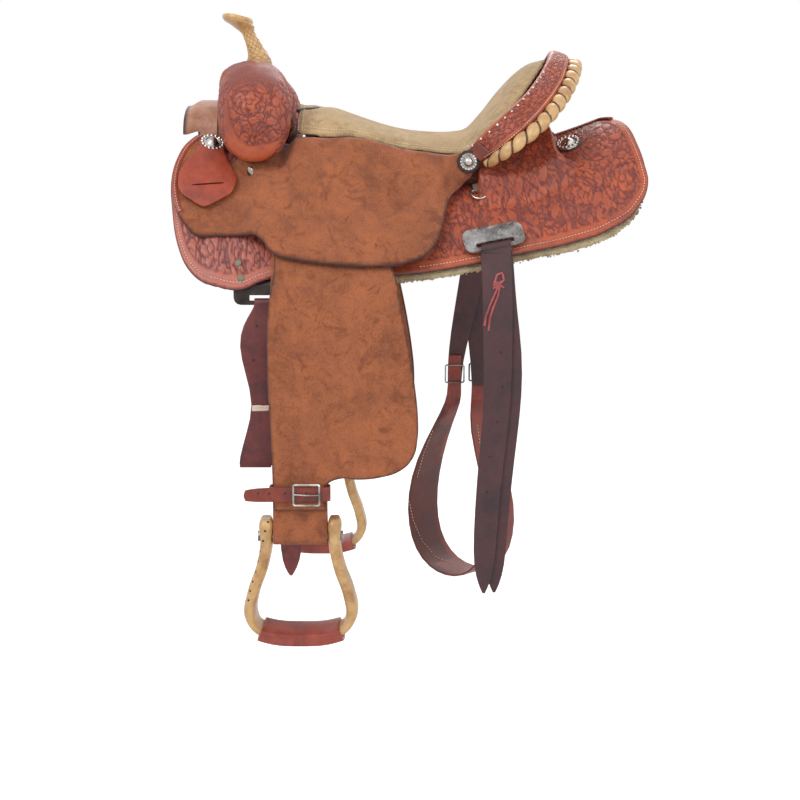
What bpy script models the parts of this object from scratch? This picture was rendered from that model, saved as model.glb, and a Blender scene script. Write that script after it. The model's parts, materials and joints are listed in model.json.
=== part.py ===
"""Barrel racing saddle, built as its separate leather, tree and metal pieces.

Metres, +Z up. The horn points to -X and the near (left) side is at -Y. The
origin is on the centre line, where the bars' underside would meet the back.
"""
import math

import bmesh
import bpy
import numpy as np
from mathutils import Matrix, Vector

NAME = "barrel_racing_saddle"

# Back surface that the skirts lie on
RIDGE_MID = 0.002
ROCK_FRONT = 0.64
ROCK_REAR = 0.67
FLANK_HALF = 0.200
FLANK_DROP = 0.150

# Thicknesses, from the horse outwards
FLEECE_T = 0.013
SKIRT_T = 0.005
BAR_T = 0.019
LEATHER_T = 0.004
FENDER_T = 0.0045
JOCKEY_T = 0.0045
COVER_T = 0.0035
SEAT_T = 0.012
BILLET_T = 0.0032
PLATE_T = 0.003

# Clearances
TOUCH = 0.0003
LAYER = 0.0006
SLIDE = 0.0015
SWING = 0.0045

# Bars of the tree
BAR_FRONT = -0.240
BAR_REAR = 0.224
BAR_INNER = 0.040
BAR_OUTER = 0.115
BAR_WAIST = 0.022
BAR_EDGE_T = 0.013

# Stirrup leathers and fenders
LEG_X = -0.1395
LEATHER_W = 0.076
PIVOT_Z = -0.062
HANG_START = -0.150
HANG_EASE = 0.080
BOLT_Z = -0.517
ROLLER_R = 0.008
BOLT_R = 0.004
HOBBLE_Z = -0.454
HOBBLE_W = 0.020
HOBBLE_T = 0.003

# Stirrups
STIRRUP_ARM_TOP = 0.027
STIRRUP_DROP = 0.140
STIRRUP_HALF = 0.0715
STIRRUP_WALL = 0.017
STIRRUP_DEPTH_TOP = 0.034
STIRRUP_DEPTH = 0.052
TREAD_HALF = 0.060
TREAD_T = 0.007
SOLE_T = 0.012

# Rigging
REAR_PLATE_X = 0.131
REAR_PLATE_Y = 0.1735
PLATE_L = 0.086
PLATE_H = 0.038
PLATE_TILT = math.radians(12.0)
SLOT_L = 0.054
SLOT_H = 0.0075
RAIL_H = 0.006
BILLET_W = 0.042
FRONT_PLATE_X = -0.183
FRONT_PLATE_L = 0.096
FRONT_PLATE_H = 0.070
FRONT_START = -0.160
FRONT_EASE = 0.016
FRONT_RAIL_Z = -0.192
LATIGO_W = 0.040
EYE_R = 0.0036

# Silver
CONCHO_R = 0.0175
CORNER_CONCHO_R = 0.0125
CONCHO_H = 0.0055
SCREW_R = 0.0025
DEE_WIRE = 0.0018
DEE_R = 0.0115
BUCKLE_WIRE = 0.0016

# Horn
HORN_WRAP_T = 0.003

# Roll and binding on the cantle's rim
ROLL_T = 0.008
ROLL_CROWN = 0.004
BIND_R = 0.0062

SIDES = (("near", -1.0), ("off", 1.0))

LEATHER_RED = ((0.42, 0.10, 0.05, 1.0), 0.45, 0.0)
ROUGHOUT = ((0.38, 0.14, 0.06, 1.0), 0.85, 0.0)
SUEDE = ((0.42, 0.30, 0.17, 1.0), 0.9, 0.0)
RAWHIDE = ((0.62, 0.42, 0.20, 1.0), 0.5, 0.0)
BURGUNDY = ((0.10, 0.02, 0.02, 1.0), 0.4, 0.0)
DARK_LEATHER = ((0.07, 0.03, 0.03, 1.0), 0.5, 0.0)
FLEECE = ((0.60, 0.46, 0.26, 1.0), 0.95, 0.0)
WOOD = ((0.50, 0.34, 0.18, 1.0), 0.7, 0.0)
SILVER = ((0.80, 0.80, 0.78, 1.0), 0.25, 1.0)
STEEL = ((0.45, 0.45, 0.46, 1.0), 0.35, 1.0)


def clear_scene():
    for obj in list(bpy.data.objects):
        bpy.data.objects.remove(obj, do_unlink=True)


def make_collection(name):
    found = bpy.data.collections.new(name)
    bpy.context.scene.collection.children.link(found)
    return found


def make_material(name, finish):
    colour, roughness, metallic = finish
    made = bpy.data.materials.new(name)
    made.use_nodes = True
    shader = made.node_tree.nodes["Principled BSDF"]
    shader.inputs["Base Color"].default_value = colour
    shader.inputs["Roughness"].default_value = roughness
    shader.inputs["Metallic"].default_value = metallic
    made.diffuse_color = colour
    return made


def add_object(name, mesh, finish, smooth=40.0):
    obj = bpy.data.objects.new(name, mesh)
    PARTS.objects.link(obj)
    mesh.materials.clear()
    mesh.materials.append(make_material(name, finish))
    mesh.shade_smooth()
    mesh.set_sharp_from_angle(angle=math.radians(smooth))
    return obj


def from_bmesh(name, bm, finish, smooth=40.0):
    bmesh.ops.recalc_face_normals(bm, faces=bm.faces[:])
    mesh = bpy.data.meshes.new(name)
    bm.to_mesh(mesh)
    bm.free()
    return add_object(name, mesh, finish, smooth)


def add_pivot(name, place):
    empty = bpy.data.objects.new(name, None)
    empty.empty_display_size = 0.02
    empty.location = place
    PARTS.objects.link(empty)
    bpy.context.view_layer.update()
    return empty


def hang_on(pieces, empty):
    for obj in pieces:
        obj.parent = empty
        obj.matrix_parent_inverse = empty.matrix_world.inverted()


def smoothstep(t):
    t = min(1.0, max(0.0, t))
    return t * t * (3.0 - 2.0 * t)


# Surfaces of the back

def ridge(x):
    return RIDGE_MID + (ROCK_FRONT if x < 0 else ROCK_REAR) * x * x


def on_back(x, y, n):
    """Point n above the back surface, over its point at x and half-width y."""
    rock = ROCK_FRONT if x < 0 else ROCK_REAR
    top = ridge(x)
    share = (y / FLANK_HALF) ** 2
    slope_x = 2.0 * rock * x * (1.0 - share)
    slope_y = -2.0 * y / FLANK_HALF ** 2 * (top + FLANK_DROP)
    normal = Vector((-slope_x, -slope_y, 1.0)).normalized()
    return Vector((x, y, top - share * (top + FLANK_DROP))) + normal * n


def back_normal(x, y):
    return (on_back(x, y, 1.0) - on_back(x, y, 0.0)).normalized()


def height_over(x, y, n):
    """Height of the surface n above the back, at plan position x, y."""
    base = y
    for _ in range(12):
        found = on_back(x, base, n)
        base += y - found.y
    return on_back(x, base, n).z


def hang_profile(x, n, start, ease):
    """Half-width against height of a leather that lies n above the flank and
    then hangs straight down past its edge."""
    steps = np.linspace(0.06, 0.24, 60)
    spots = [on_back(x, s, n) for s in steps]
    heights = np.array([p.z for p in spots])[::-1]
    widths = np.array([p.y for p in spots])[::-1]

    def profile(z):
        if z >= start:
            return float(np.interp(z, heights, widths))
        edge = float(np.interp(start, heights, widths))
        step = 0.002
        slope = (edge - float(np.interp(start + step, heights, widths))) / step
        t = min(1.0, (start - z) / ease)
        return edge + slope * ease * (t - 0.5 * t * t)

    return profile


# Shapes

def outline_face(points, steps):
    """A bmesh with one face inside a smooth closed outline; a third item
    marks a sharp corner."""
    curve = bpy.data.curves.new("outline", "CURVE")
    curve.dimensions = "2D"
    curve.fill_mode = "NONE"
    curve.resolution_u = steps
    curve.render_resolution_u = 0
    spline = curve.splines.new("BEZIER")
    spline.bezier_points.add(len(points) - 1)
    for knot, point in zip(spline.bezier_points, points):
        knot.co = (point[0], point[1], 0.0)
        kind = "VECTOR" if len(point) > 2 else "AUTO"
        knot.handle_left_type = kind
        knot.handle_right_type = kind
    spline.use_cyclic_u = True
    obj = bpy.data.objects.new("outline", curve)
    bpy.context.scene.collection.objects.link(obj)
    bpy.context.view_layer.update()
    graph = bpy.context.evaluated_depsgraph_get()
    mesh = bpy.data.meshes.new_from_object(obj.evaluated_get(graph))
    bpy.data.objects.remove(obj, do_unlink=True)
    bm = bmesh.new()
    bm.from_mesh(mesh)
    bpy.data.meshes.remove(mesh)
    bmesh.ops.remove_doubles(bm, verts=bm.verts[:], dist=0.0001)
    bmesh.ops.contextual_create(bm, geom=bm.edges[:])
    return bm


def cut_grid(bm, step_u, step_v):
    """Cut a flat face along the grid lines that every layer shares."""
    for axis, step in ((0, step_u), (1, step_v)):
        low = min(v.co[axis] for v in bm.verts)
        high = max(v.co[axis] for v in bm.verts)
        normal = Vector((1, 0, 0)) if axis == 0 else Vector((0, 1, 0))
        lines = [i * step for i in range(math.floor(low / step) + 1, math.ceil(high / step))]
        for line in lines:
            if line - low < 0.12 * step or high - line < 0.12 * step:
                continue
            bmesh.ops.bisect_plane(
                bm, geom=bm.verts[:] + bm.edges[:] + bm.faces[:], dist=1e-6,
                plane_co=normal * line, plane_no=normal)


def sheet(name, points, place, thickness, finish, grid=(0.050, 0.025), steps=2,
          outward=Vector((0, 0, 1))):
    """A leather panel: an outline, cut into a grid, laid by place(u, v) and
    given its thickness outwards."""
    bm = outline_face(points, steps)
    cut_grid(bm, *grid)
    bmesh.ops.remove_doubles(bm, verts=bm.verts[:], dist=0.0008)
    for vert in bm.verts:
        vert.co = place(vert.co.x, vert.co.y)
    bmesh.ops.recalc_face_normals(bm, faces=bm.faces[:])
    total = Vector()
    for face in bm.faces:
        total += face.normal * face.calc_area()
    if total.dot(outward) < 0:
        bmesh.ops.reverse_faces(bm, faces=bm.faces[:])
    mesh = bpy.data.meshes.new(name)
    bm.to_mesh(mesh)
    bm.free()
    obj = add_object(name, mesh, finish)
    wall = obj.modifiers.new("thickness", "SOLIDIFY")
    wall.thickness = thickness
    wall.offset = 1.0
    wall.use_even_offset = False
    return obj


def slab(name, cells, top, under, finish):
    """A solid between two surfaces over one grid; u and v run from 0 to 1."""
    bm = bmesh.new()
    bmesh.ops.create_grid(bm, x_segments=cells[0], y_segments=cells[1], size=0.5)
    lower = bmesh.ops.extrude_face_region(bm, geom=bm.faces[:])
    moved = {v for v in lower["geom"] if isinstance(v, bmesh.types.BMVert)}
    for vert in bm.verts:
        u, v = vert.co.x + 0.5, vert.co.y + 0.5
        vert.co = under(u, v) if vert in moved else top(u, v)
    return from_bmesh(name, bm, finish)


def loft(name, rings, finish, capped=True, wall=None):
    """Skin closed rings, with flat ends or with a wall inwards."""
    bm = bmesh.new()
    skins = [[bm.verts.new(p) for p in ring] for ring in rings]
    count = len(rings[0])
    for first, second in zip(skins, skins[1:]):
        for i in range(count):
            j = (i + 1) % count
            bm.faces.new((first[i], first[j], second[j], second[i]))
    if capped:
        bm.faces.new(skins[0][::-1])
        bm.faces.new(skins[-1])
    bmesh.ops.recalc_face_normals(bm, faces=bm.faces[:])
    obj = from_bmesh(name, bm, finish)
    if wall:
        shell = obj.modifiers.new("wall", "SOLIDIFY")
        shell.thickness = wall
        shell.offset = -1.0
    return obj


def ribbon(name, route, finish, thickness, closed=False):
    """A strap: route holds (centre, half-width vector) and the strap's
    thickness is shared between its faces."""
    bm = bmesh.new()
    left = [bm.verts.new(Vector(c) - Vector(w)) for c, w in route]
    right = [bm.verts.new(Vector(c) + Vector(w)) for c, w in route]
    count = len(route)
    for i in range(count if closed else count - 1):
        j = (i + 1) % count
        bm.faces.new((left[i], right[i], right[j], left[j]))
    mesh = bpy.data.meshes.new(name)
    bm.to_mesh(mesh)
    bm.free()
    obj = add_object(name, mesh, finish)
    wall = obj.modifiers.new("thickness", "SOLIDIFY")
    wall.thickness = thickness
    wall.offset = 0.0
    return obj


def wire(name, points, radius, finish, closed=False, sides=2):
    """A round wire or roll along hand-set points."""
    curve = bpy.data.curves.new(name, "CURVE")
    curve.dimensions = "3D"
    curve.bevel_depth = radius
    curve.bevel_resolution = sides
    curve.use_fill_caps = not closed
    curve.render_resolution_u = 0
    spline = curve.splines.new("POLY")
    spline.points.add(len(points) - 1)
    for knot, point in zip(spline.points, points):
        knot.co = (*point[:3], 1.0)
        knot.radius = point[3] if len(point) > 3 else 1.0
    spline.use_cyclic_u = closed
    obj = bpy.data.objects.new(name, curve)
    bpy.context.scene.collection.objects.link(obj)
    bpy.context.view_layer.update()
    graph = bpy.context.evaluated_depsgraph_get()
    mesh = bpy.data.meshes.new_from_object(obj.evaluated_get(graph))
    bpy.data.objects.remove(obj, do_unlink=True)
    bm = bmesh.new()
    bm.from_mesh(mesh)
    bpy.data.meshes.remove(mesh)
    bmesh.ops.remove_doubles(bm, verts=bm.verts[:], dist=0.00002)
    return from_bmesh(name, bm, finish, 60.0)


def smooth_line(points, count):
    """Evenly counted points on a smooth line through hand-set ones."""
    array = np.array([tuple(p) for p in points], dtype=float)
    lengths = np.linalg.norm(np.diff(array[:, :3], axis=0), axis=1)
    knots = np.concatenate(([0.0], np.cumsum(lengths)))
    tangents = np.gradient(array, knots, axis=0)
    found = []
    for s in np.linspace(0.0, knots[-1], count):
        i = min(len(knots) - 2, int(np.searchsorted(knots, s, side="right")) - 1)
        span = knots[i + 1] - knots[i]
        t = (s - knots[i]) / span
        h00 = 2 * t ** 3 - 3 * t ** 2 + 1
        h10 = t ** 3 - 2 * t ** 2 + t
        h01 = -2 * t ** 3 + 3 * t ** 2
        h11 = t ** 3 - t ** 2
        spot = h00 * array[i] + h10 * span * tangents[i]
        spot += h01 * array[i + 1] + h11 * span * tangents[i + 1]
        found.append(tuple(float(c) for c in spot))
    return found


def flip(point, side):
    return Vector((point[0], side * point[1], point[2]))


def turned(name, profile, place, axis, finish, steps=20):
    """A profile of (radius, height) turned about axis at place."""
    bm = bmesh.new()
    verts = [bm.verts.new((r, 0.0, z)) for r, z in profile]
    for first, second in zip(verts, verts[1:]):
        bm.edges.new((first, second))
    mesh = bpy.data.meshes.new(name)
    bm.to_mesh(mesh)
    bm.free()
    obj = add_object(name, mesh, finish, 35.0)
    screw = obj.modifiers.new("turn", "SCREW")
    screw.axis = "Z"
    screw.steps = steps
    screw.render_steps = steps
    screw.use_merge_vertices = True
    screw.merge_threshold = 0.00001
    obj.location = place
    obj.rotation_euler = Vector(axis).to_track_quat("Z", "X").to_euler()
    return obj


# Layer heights above the back surface

BAR_LOW = SKIRT_T + 2 * LAYER
BAR_HIGH = BAR_LOW + BAR_T
INNER_STRAND = SKIRT_T + 2 * SLIDE + LEATHER_T / 2
OUTER_STRAND = INNER_STRAND + LEATHER_T + TOUCH
FENDER_LOW = OUTER_STRAND + LEATHER_T / 2 + LAYER
JOCKEY_EDGE = SKIRT_T + LAYER
JOCKEY_OVER = FENDER_LOW + FENDER_T + SWING

SKIRT_OUTLINE = [
    (-0.285, 0.052), (-0.307, 0.076), (-0.320, 0.105), (-0.326, 0.130),
    (-0.322, 0.155), (-0.309, 0.185), (-0.288, 0.202), (-0.250, 0.211),
    (-0.218, 0.213), (-0.190, 0.2075), (-0.150, 0.203), (-0.070, 0.204),
    (0.010, 0.203), (0.106, 0.194), (0.160, 0.187), (0.240, 0.179),
    (0.295, 0.171), (0.335, 0.158), (0.352, 0.141), (0.350, 0.122),
    (0.343, 0.096), (0.335, 0.068), (0.322, 0.040), (0.300, 0.006, 1),
    (0.245, 0.006, 1), (0.225, 0.030), (0.150, 0.034), (0.000, 0.034),
    (-0.150, 0.034), (-0.235, 0.036)]

FLEECE_OUTLINE = [
    (-0.282, 0.056), (-0.303, 0.080), (-0.315, 0.106), (-0.321, 0.130),
    (-0.317, 0.155), (-0.304, 0.184), (-0.285, 0.198), (-0.250, 0.2035),
    (-0.130, 0.2035), (-0.070, 0.207), (0.010, 0.207), (0.106, 0.198),
    (0.166, 0.192), (0.268, 0.183), (0.318, 0.173), (0.346, 0.155),
    (0.348, 0.138), (0.346, 0.122), (0.339, 0.096), (0.331, 0.068),
    (0.318, 0.042), (0.297, 0.009, 1), (0.248, 0.009, 1), (0.226, 0.033),
    (0.150, 0.037), (0.000, 0.037), (-0.150, 0.037), (-0.233, 0.040)]

# Seat rows: centre x, half-width, bow, centre z, edge z
SEAT_ROWS = [
    (-0.1520, 0.070, 0.000, 0.0975, 0.064), (-0.1380, 0.092, 0.000, 0.091, 0.050),
    (-0.1210, 0.106, 0.000, 0.085, 0.040), (-0.0980, 0.112, 0.000, 0.083, 0.039),
    (-0.0740, 0.114, 0.000, 0.075, 0.040), (-0.0450, 0.116, 0.000, 0.065, 0.036),
    (-0.0020, 0.118, 0.000, 0.053, 0.024), (0.0410, 0.122, 0.000, 0.048, 0.018),
    (0.0760, 0.119, 0.004, 0.048, 0.015), (0.0980, 0.1205, 0.010, 0.052, 0.016),
    (0.1200, 0.1235, 0.022, 0.073, 0.022), (0.1500, 0.1335, 0.037, 0.110, 0.037),
    (0.1780, 0.1370, 0.052, 0.138, 0.049), (0.2010, 0.1375, 0.067, 0.154, 0.056),
    (0.2170, 0.1375, 0.076, 0.161, 0.062)]


def seat_edge(x):
    """Half-width and height of the seat's sewn edge."""
    rows = SEAT_ROWS[2:10]
    places = [row[0] - row[2] for row in rows]
    return (float(np.interp(x, places, [row[1] for row in rows])),
            float(np.interp(x, places, [row[4] for row in rows])))


def jockey_top(x):
    """Base half-width and height over the back of the jockey's upper edge,
    which meets the seat's edge from outside."""
    half, z = seat_edge(x)
    target = Vector((x, half + SLIDE, z - JOCKEY_T))
    base, height = half, 0.0
    for _ in range(12):
        spot = on_back(x, base, 0.0)
        normal = back_normal(x, base)
        height = (target - spot).dot(normal)
        base += (target - spot - normal * height).y
    return base, height


JOCKEY_OUTLINE = [
    (-0.307, 0.081), (-0.320, 0.108), (-0.3245, 0.130), (-0.320, 0.151),
    (-0.311, 0.163, 1), (-0.298, 0.171), (-0.284, 0.176), (-0.252, 0.175),
    (-0.218, 0.175), (-0.195, 0.181), (-0.176, 0.1925), (-0.150, 0.197),
    (-0.081, 0.2025), (-0.020, 0.2035), (0.015, 0.200), (0.044, 0.190),
    (0.060, 0.168), (0.066, 0.149), (0.076, 0.127), (0.092, 0.113),
    (0.108, 0.106), (0.111, 0.098), (0.102, 0.092)]
JOCKEY_OUTLINE += [(x, jockey_top(x)[0]) for x in (0.078, 0.030, -0.020, -0.070, -0.105)]
JOCKEY_OUTLINE += [
    (-0.136, 0.106), (-0.158, 0.126), (-0.200, 0.134), (-0.240, 0.132),
    (-0.2600, 0.112, 1), (-0.2600, 0.062, 1), (-0.292, 0.064)]

FENDER_OUTLINE = [
    (LEG_X - 0.034, -0.054), (LEG_X - 0.0405, -0.084), (-0.173, -0.138),
    (-0.180, -0.195), (-0.182, -0.238), (-0.182, -0.300), (-0.1785, -0.380),
    (-0.1772, -0.440), (-0.1768, -0.479, 1), (-0.1022, -0.479, 1),
    (-0.1022, -0.444), (-0.085, -0.434), (-0.056, -0.435), (-0.028, -0.432),
    (0.001, -0.422), (0.018, -0.404), (0.0245, -0.376), (0.025, -0.350),
    (0.021, -0.307), (0.013, -0.256), (0.002, -0.200), (-0.011, -0.141),
    (-0.040, -0.104), (-0.075, -0.074), (LEG_X + 0.034, -0.052),
    (LEG_X, -0.034)]


def jockey_height(x, y):
    """Height of the jockey's inner face: close to the skirt at both ends,
    over the fender between, and rising to the seat's edge."""
    over = smoothstep((x + 0.232) / 0.037) * smoothstep((0.100 - x) / 0.050)
    low = JOCKEY_EDGE + (JOCKEY_OVER - JOCKEY_EDGE) * over
    inner, top = jockey_top(x)
    start = 0.150 - 0.030 * smoothstep((x - 0.050) / 0.040)
    rise = smoothstep((start - y) / (start - inner))
    return low + (top - low) * rise * smoothstep((x + 0.165) / 0.030)


def jockey_outer(x, y):
    return jockey_height(x, y) + JOCKEY_T


def fleece_height(x, y):
    """The fleece makes room for the front rigging plate."""
    span = FRONT_PLATE_L / 2 + 0.012
    near = smoothstep((span + 0.020 - abs(x - FRONT_PLATE_X)) / 0.020)
    down = smoothstep((y - 0.150) / 0.020)
    return -(2 * LAYER + FLEECE_T) - (PLATE_T + 3 * LAYER) * near * down


def make_skirts():
    for word, side in SIDES:
        sheet("skirt_" + word, SKIRT_OUTLINE,
              lambda x, y: flip(on_back(x, y, 0.0), side), SKIRT_T, LEATHER_RED)
        sheet("fleece_" + word, FLEECE_OUTLINE,
              lambda x, y: flip(on_back(x, y, fleece_height(x, y)), side),
              FLEECE_T, FLEECE, steps=1)
        sheet("seat_jockey_" + word, JOCKEY_OUTLINE,
              lambda x, y: flip(on_back(x, y, jockey_height(x, y)), side),
              JOCKEY_T, ROUGHOUT)


# Tree

def bar_edges(x):
    """Inner and outer half-widths of a bar, drawn in at its waist."""
    t = (x - BAR_FRONT) / (BAR_REAR - BAR_FRONT)
    waist = BAR_WAIST * math.sin(math.pi * t) ** 2
    ends = 0.018 * (2.0 * t - 1.0) ** 6
    return BAR_INNER + ends, BAR_OUTER - ends - waist * smoothstep((x + 0.09) / 0.06)


def make_bars():
    for word, side in SIDES:
        def spot(u, v, high):
            x = BAR_FRONT + (BAR_REAR - BAR_FRONT) * u
            inner, outer = bar_edges(x)
            y = inner + (outer - inner) * v
            crown = 1.0 - (2.0 * v - 1.0) ** 4
            thick = BAR_EDGE_T + (BAR_T - BAR_EDGE_T) * crown
            return flip(on_back(x, y, BAR_LOW + (thick if high else 0.0)), side)
        slab("tree_bar_" + word, (12, 4), lambda u, v: spot(u, v, True),
             lambda u, v: spot(u, v, False), WOOD)


# Fork stations: half-width y, front x, rear x, underside above the bars, top z
FORK_STATIONS = [
    (0.000, -0.267, -0.180, 0.034, 0.153), (0.030, -0.267, -0.179, 0.037, 0.152),
    (0.052, -0.266, -0.176, 0.028, 0.150), (0.066, -0.264, -0.170, 0.006, 0.148),
    (0.084, -0.262, -0.162, 0.0025, 0.144), (0.100, -0.261, -0.157, 0.0025, 0.140),
    (0.120, -0.259, -0.155, 0.033, 0.130), (0.136, -0.256, -0.157, 0.044, 0.119),
    (0.151, -0.247, -0.167, 0.062, 0.104), (0.163, -0.228, -0.186, 0.100, 0.086)]
FORK_SIDES = 16
FORK_SQUARE = 2.5
COVER_LAP = 2


def fork_point(station, angle, inset):
    """A point on the fork's section, a rounded square that stands on the bar."""
    y, front, rear, lift, high = station
    middle = (front + rear) / 2
    low = height_over(middle, abs(y), BAR_HIGH + LAYER) + lift - COVER_T - TOUCH
    radius_x = (rear - front) / 2 - inset
    radius_z = (high - low) / 2 - inset
    power = 2.0 / FORK_SQUARE
    across = math.copysign(abs(math.cos(angle)) ** power, math.cos(angle))
    up = math.copysign(abs(math.sin(angle)) ** power, math.sin(angle))
    pull = 1.0 - inset / FORK_STATIONS[-1][0]
    x = middle + radius_x * across
    lean = height_over(x, abs(y), BAR_HIGH) - height_over(middle, abs(y), BAR_HIGH)
    return Vector((x, y * pull, (low + high) / 2 + radius_z * up + lean * max(0.0, -up)))


def make_fork():
    """The fork, and the leather that covers all but its feet and the arch."""
    stations = [(-s[0], *s[1:]) for s in FORK_STATIONS[:0:-1]] + FORK_STATIONS
    count = len(stations) - 1
    rings = [[fork_point(station, 2 * math.pi * i / FORK_SIDES, COVER_T + TOUCH)
              for i in range(FORK_SIDES)] for station in stations]
    loft("tree_fork", rings, WOOD)
    cells = FORK_SIDES // 2 + 2 * COVER_LAP

    def spot(u, v, inset):
        angle = 2 * math.pi * (cells * v - COVER_LAP) / FORK_SIDES
        return fork_point(stations[round(u * count)], angle, inset)

    slab("swell_cover", (count, cells), lambda u, v: spot(u, v, 0.0),
         lambda u, v: spot(u, v, COVER_T), LEATHER_RED)


# Gullet liner: a flared arch ahead of the fork

LINER_FRONT = -0.317
LINER_TOP = 0.097
LINER_HALF = 0.064
LINER_T = 0.007


def make_liner():
    rear = FORK_STATIONS[0][1] - TOUCH

    def spot(u, v, inset):
        angle = math.pi * v
        x = LINER_FRONT + (rear - LINER_FRONT) * u
        lip = 1.0 - 0.16 * (1.0 - smoothstep(u / 0.45))
        half = LINER_HALF * lip
        foot = height_over(x, half - LINER_T, SKIRT_T + 2 * LAYER)
        rise = foot + (LINER_TOP - foot) * math.sin(angle) * lip
        return Vector((x, (half - inset) * math.cos(angle),
                       rise - inset * math.sin(angle)))

    slab("gullet_liner", (5, 12), lambda u, v: spot(u, v, 0.0),
         lambda u, v: spot(u, v, LINER_T * (0.55 + 0.45 * smoothstep(u / 0.3))),
         RAWHIDE)


# Horn rings: x, z, tilt in degrees, half-length along the tilt, half-width
HORN_RINGS = [
    (-0.2130, 0.1531, -4, 0.0215, 0.0230), (-0.2150, 0.1600, 12, 0.0195, 0.0210),
    (-0.2205, 0.1710, 24, 0.0168, 0.0178), (-0.2275, 0.1850, 26, 0.0146, 0.0156),
    (-0.2335, 0.1965, 22, 0.0140, 0.0150), (-0.2370, 0.2040, 8, 0.0160, 0.0175),
    (-0.2400, 0.2085, -6, 0.0205, 0.0240), (-0.2425, 0.2125, -8, 0.0225, 0.0280),
    (-0.2432, 0.2165, -8, 0.0225, 0.0282), (-0.2436, 0.2200, -8, 0.0190, 0.0235),
    (-0.2440, 0.2218, -8, 0.0100, 0.0125)]
HORN_SIDES = 12


def horn_ring(ring, inset, drop=0.0):
    x, z, tilt, half_x, half_y = ring
    lean = math.radians(tilt)
    along = Vector((math.cos(lean), 0.0, math.sin(lean)))
    up = Vector((-math.sin(lean), 0.0, math.cos(lean)))
    centre = Vector((x, 0.0, z)) - up * drop
    return [centre + along * (half_x - inset) * math.cos(2 * math.pi * i / HORN_SIDES)
            + Vector((0, 1, 0)) * (half_y - inset) * math.sin(2 * math.pi * i / HORN_SIDES)
            for i in range(HORN_SIDES)]


def make_horn():
    core = [horn_ring(r, HORN_WRAP_T + TOUCH) for r in HORN_RINGS[:8]]
    core.append(horn_ring(HORN_RINGS[8], HORN_WRAP_T + 0.002, 0.0015))
    loft("horn_core", core, STEEL)
    bm = bmesh.new()
    outer = [horn_ring(r, 0.0) for r in HORN_RINGS]
    inner = [horn_ring(r, HORN_WRAP_T) for r in HORN_RINGS[:8]]
    inner.append(horn_ring(HORN_RINGS[8], HORN_WRAP_T + 0.001, 0.0005))
    rings = outer[::-1] + inner
    skins = [[bm.verts.new(p) for p in ring] for ring in rings]
    for first, second in zip(skins, skins[1:]):
        for i in range(HORN_SIDES):
            j = (i + 1) % HORN_SIDES
            bm.faces.new((first[i], first[j], second[j], second[i]))
    bm.faces.new(skins[0])
    bm.faces.new(skins[-1][::-1])
    from_bmesh("horn_wrap", bm, RAWHIDE)


SEAT_ACROSS = 12
GROUND_ROWS = 9
SEAT_FALL = 2.0


def seat_row(u):
    place = u * (len(SEAT_ROWS) - 1)
    i = min(len(SEAT_ROWS) - 2, int(place))
    t = place - i
    return [a + (b - a) * t for a, b in zip(SEAT_ROWS[i], SEAT_ROWS[i + 1])]


def seat_point(u, v):
    """Point on the seat's top face; v runs from 0 to 1 across it."""
    x, half, bow, middle, edge = seat_row(u)
    across = 2.0 * v - 1.0
    fall = (middle - edge) * abs(across) ** SEAT_FALL
    bend = 0.77 * across ** 2 + 0.23 * across ** 6
    return Vector((x - bow * bend, half * across, middle - fall))


def seat_normal(u, v):
    step = 0.03
    a = seat_point(min(1.0, u + step), v) - seat_point(max(0.0, u - step), v)
    b = seat_point(u, min(1.0, v + step)) - seat_point(u, max(0.0, v - step))
    return a.cross(b).normalized()


def seat_under(u, v, depth):
    return seat_point(u, v) - seat_normal(u, v) * depth


def seat_depth(u, v):
    """The pad is full in the middle and drawn in at its sewn edges."""
    across = abs(2.0 * v - 1.0) ** 6
    along = abs(2.0 * u - 1.0) ** 8
    return SEAT_T * (1.0 - 0.45 * max(across, along))


def make_seat():
    rows = len(SEAT_ROWS) - 1
    slab("seat", (rows, SEAT_ACROSS), seat_point,
         lambda u, v: seat_under(u, v, seat_depth(u, v)), SUEDE)
    first, last = 1.0 / rows, GROUND_ROWS / rows
    inset = 1.0 - 2.0 / SEAT_ACROSS

    def top(u, v):
        across = 0.5 + (v - 0.5) * inset
        return seat_under(first + (last - first) * u, across, SEAT_T + LAYER)

    def under(u, v):
        spot = top(u, v)
        y = max(abs(spot.y), BAR_INNER + 0.012)
        low = height_over(spot.x, y, BAR_HIGH + 2 * LAYER)
        return Vector((spot.x, spot.y, min(low, spot.z - 0.002)))

    slab("ground_seat", (GROUND_ROWS - 1, SEAT_ACROSS - 2), top, under, DARK_LEATHER)


# Cantle rim, from the middle to the near or off corner: the roll's seam beside
# the seat and the line of the binding
RIM_SEAM = [
    (0.2205, 0.000, 0.1640), (0.2125, 0.050, 0.1470), (0.1945, 0.090, 0.1190),
    (0.1700, 0.125, 0.0900), (0.1430, 0.1410, 0.0660), (0.1170, 0.1390, 0.0420),
    (0.0965, 0.1250, 0.0190)]
RIM_BIND = [
    (0.2620, 0.000, 0.1500), (0.2560, 0.058, 0.1345), (0.2415, 0.102, 0.1060),
    (0.2170, 0.142, 0.0730), (0.1885, 0.165, 0.0440), (0.1540, 0.1655, 0.0180),
    (0.1235, 0.1420, -0.0030)]
RIM_STEPS = 11
SEAM_IN = 0.0006


def full_rim(half):
    points = [(p[0], -p[1], p[2]) for p in half[:0:-1]] + list(half)
    return [Vector(p) for p in smooth_line(points, 2 * RIM_STEPS + 1)]


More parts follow.
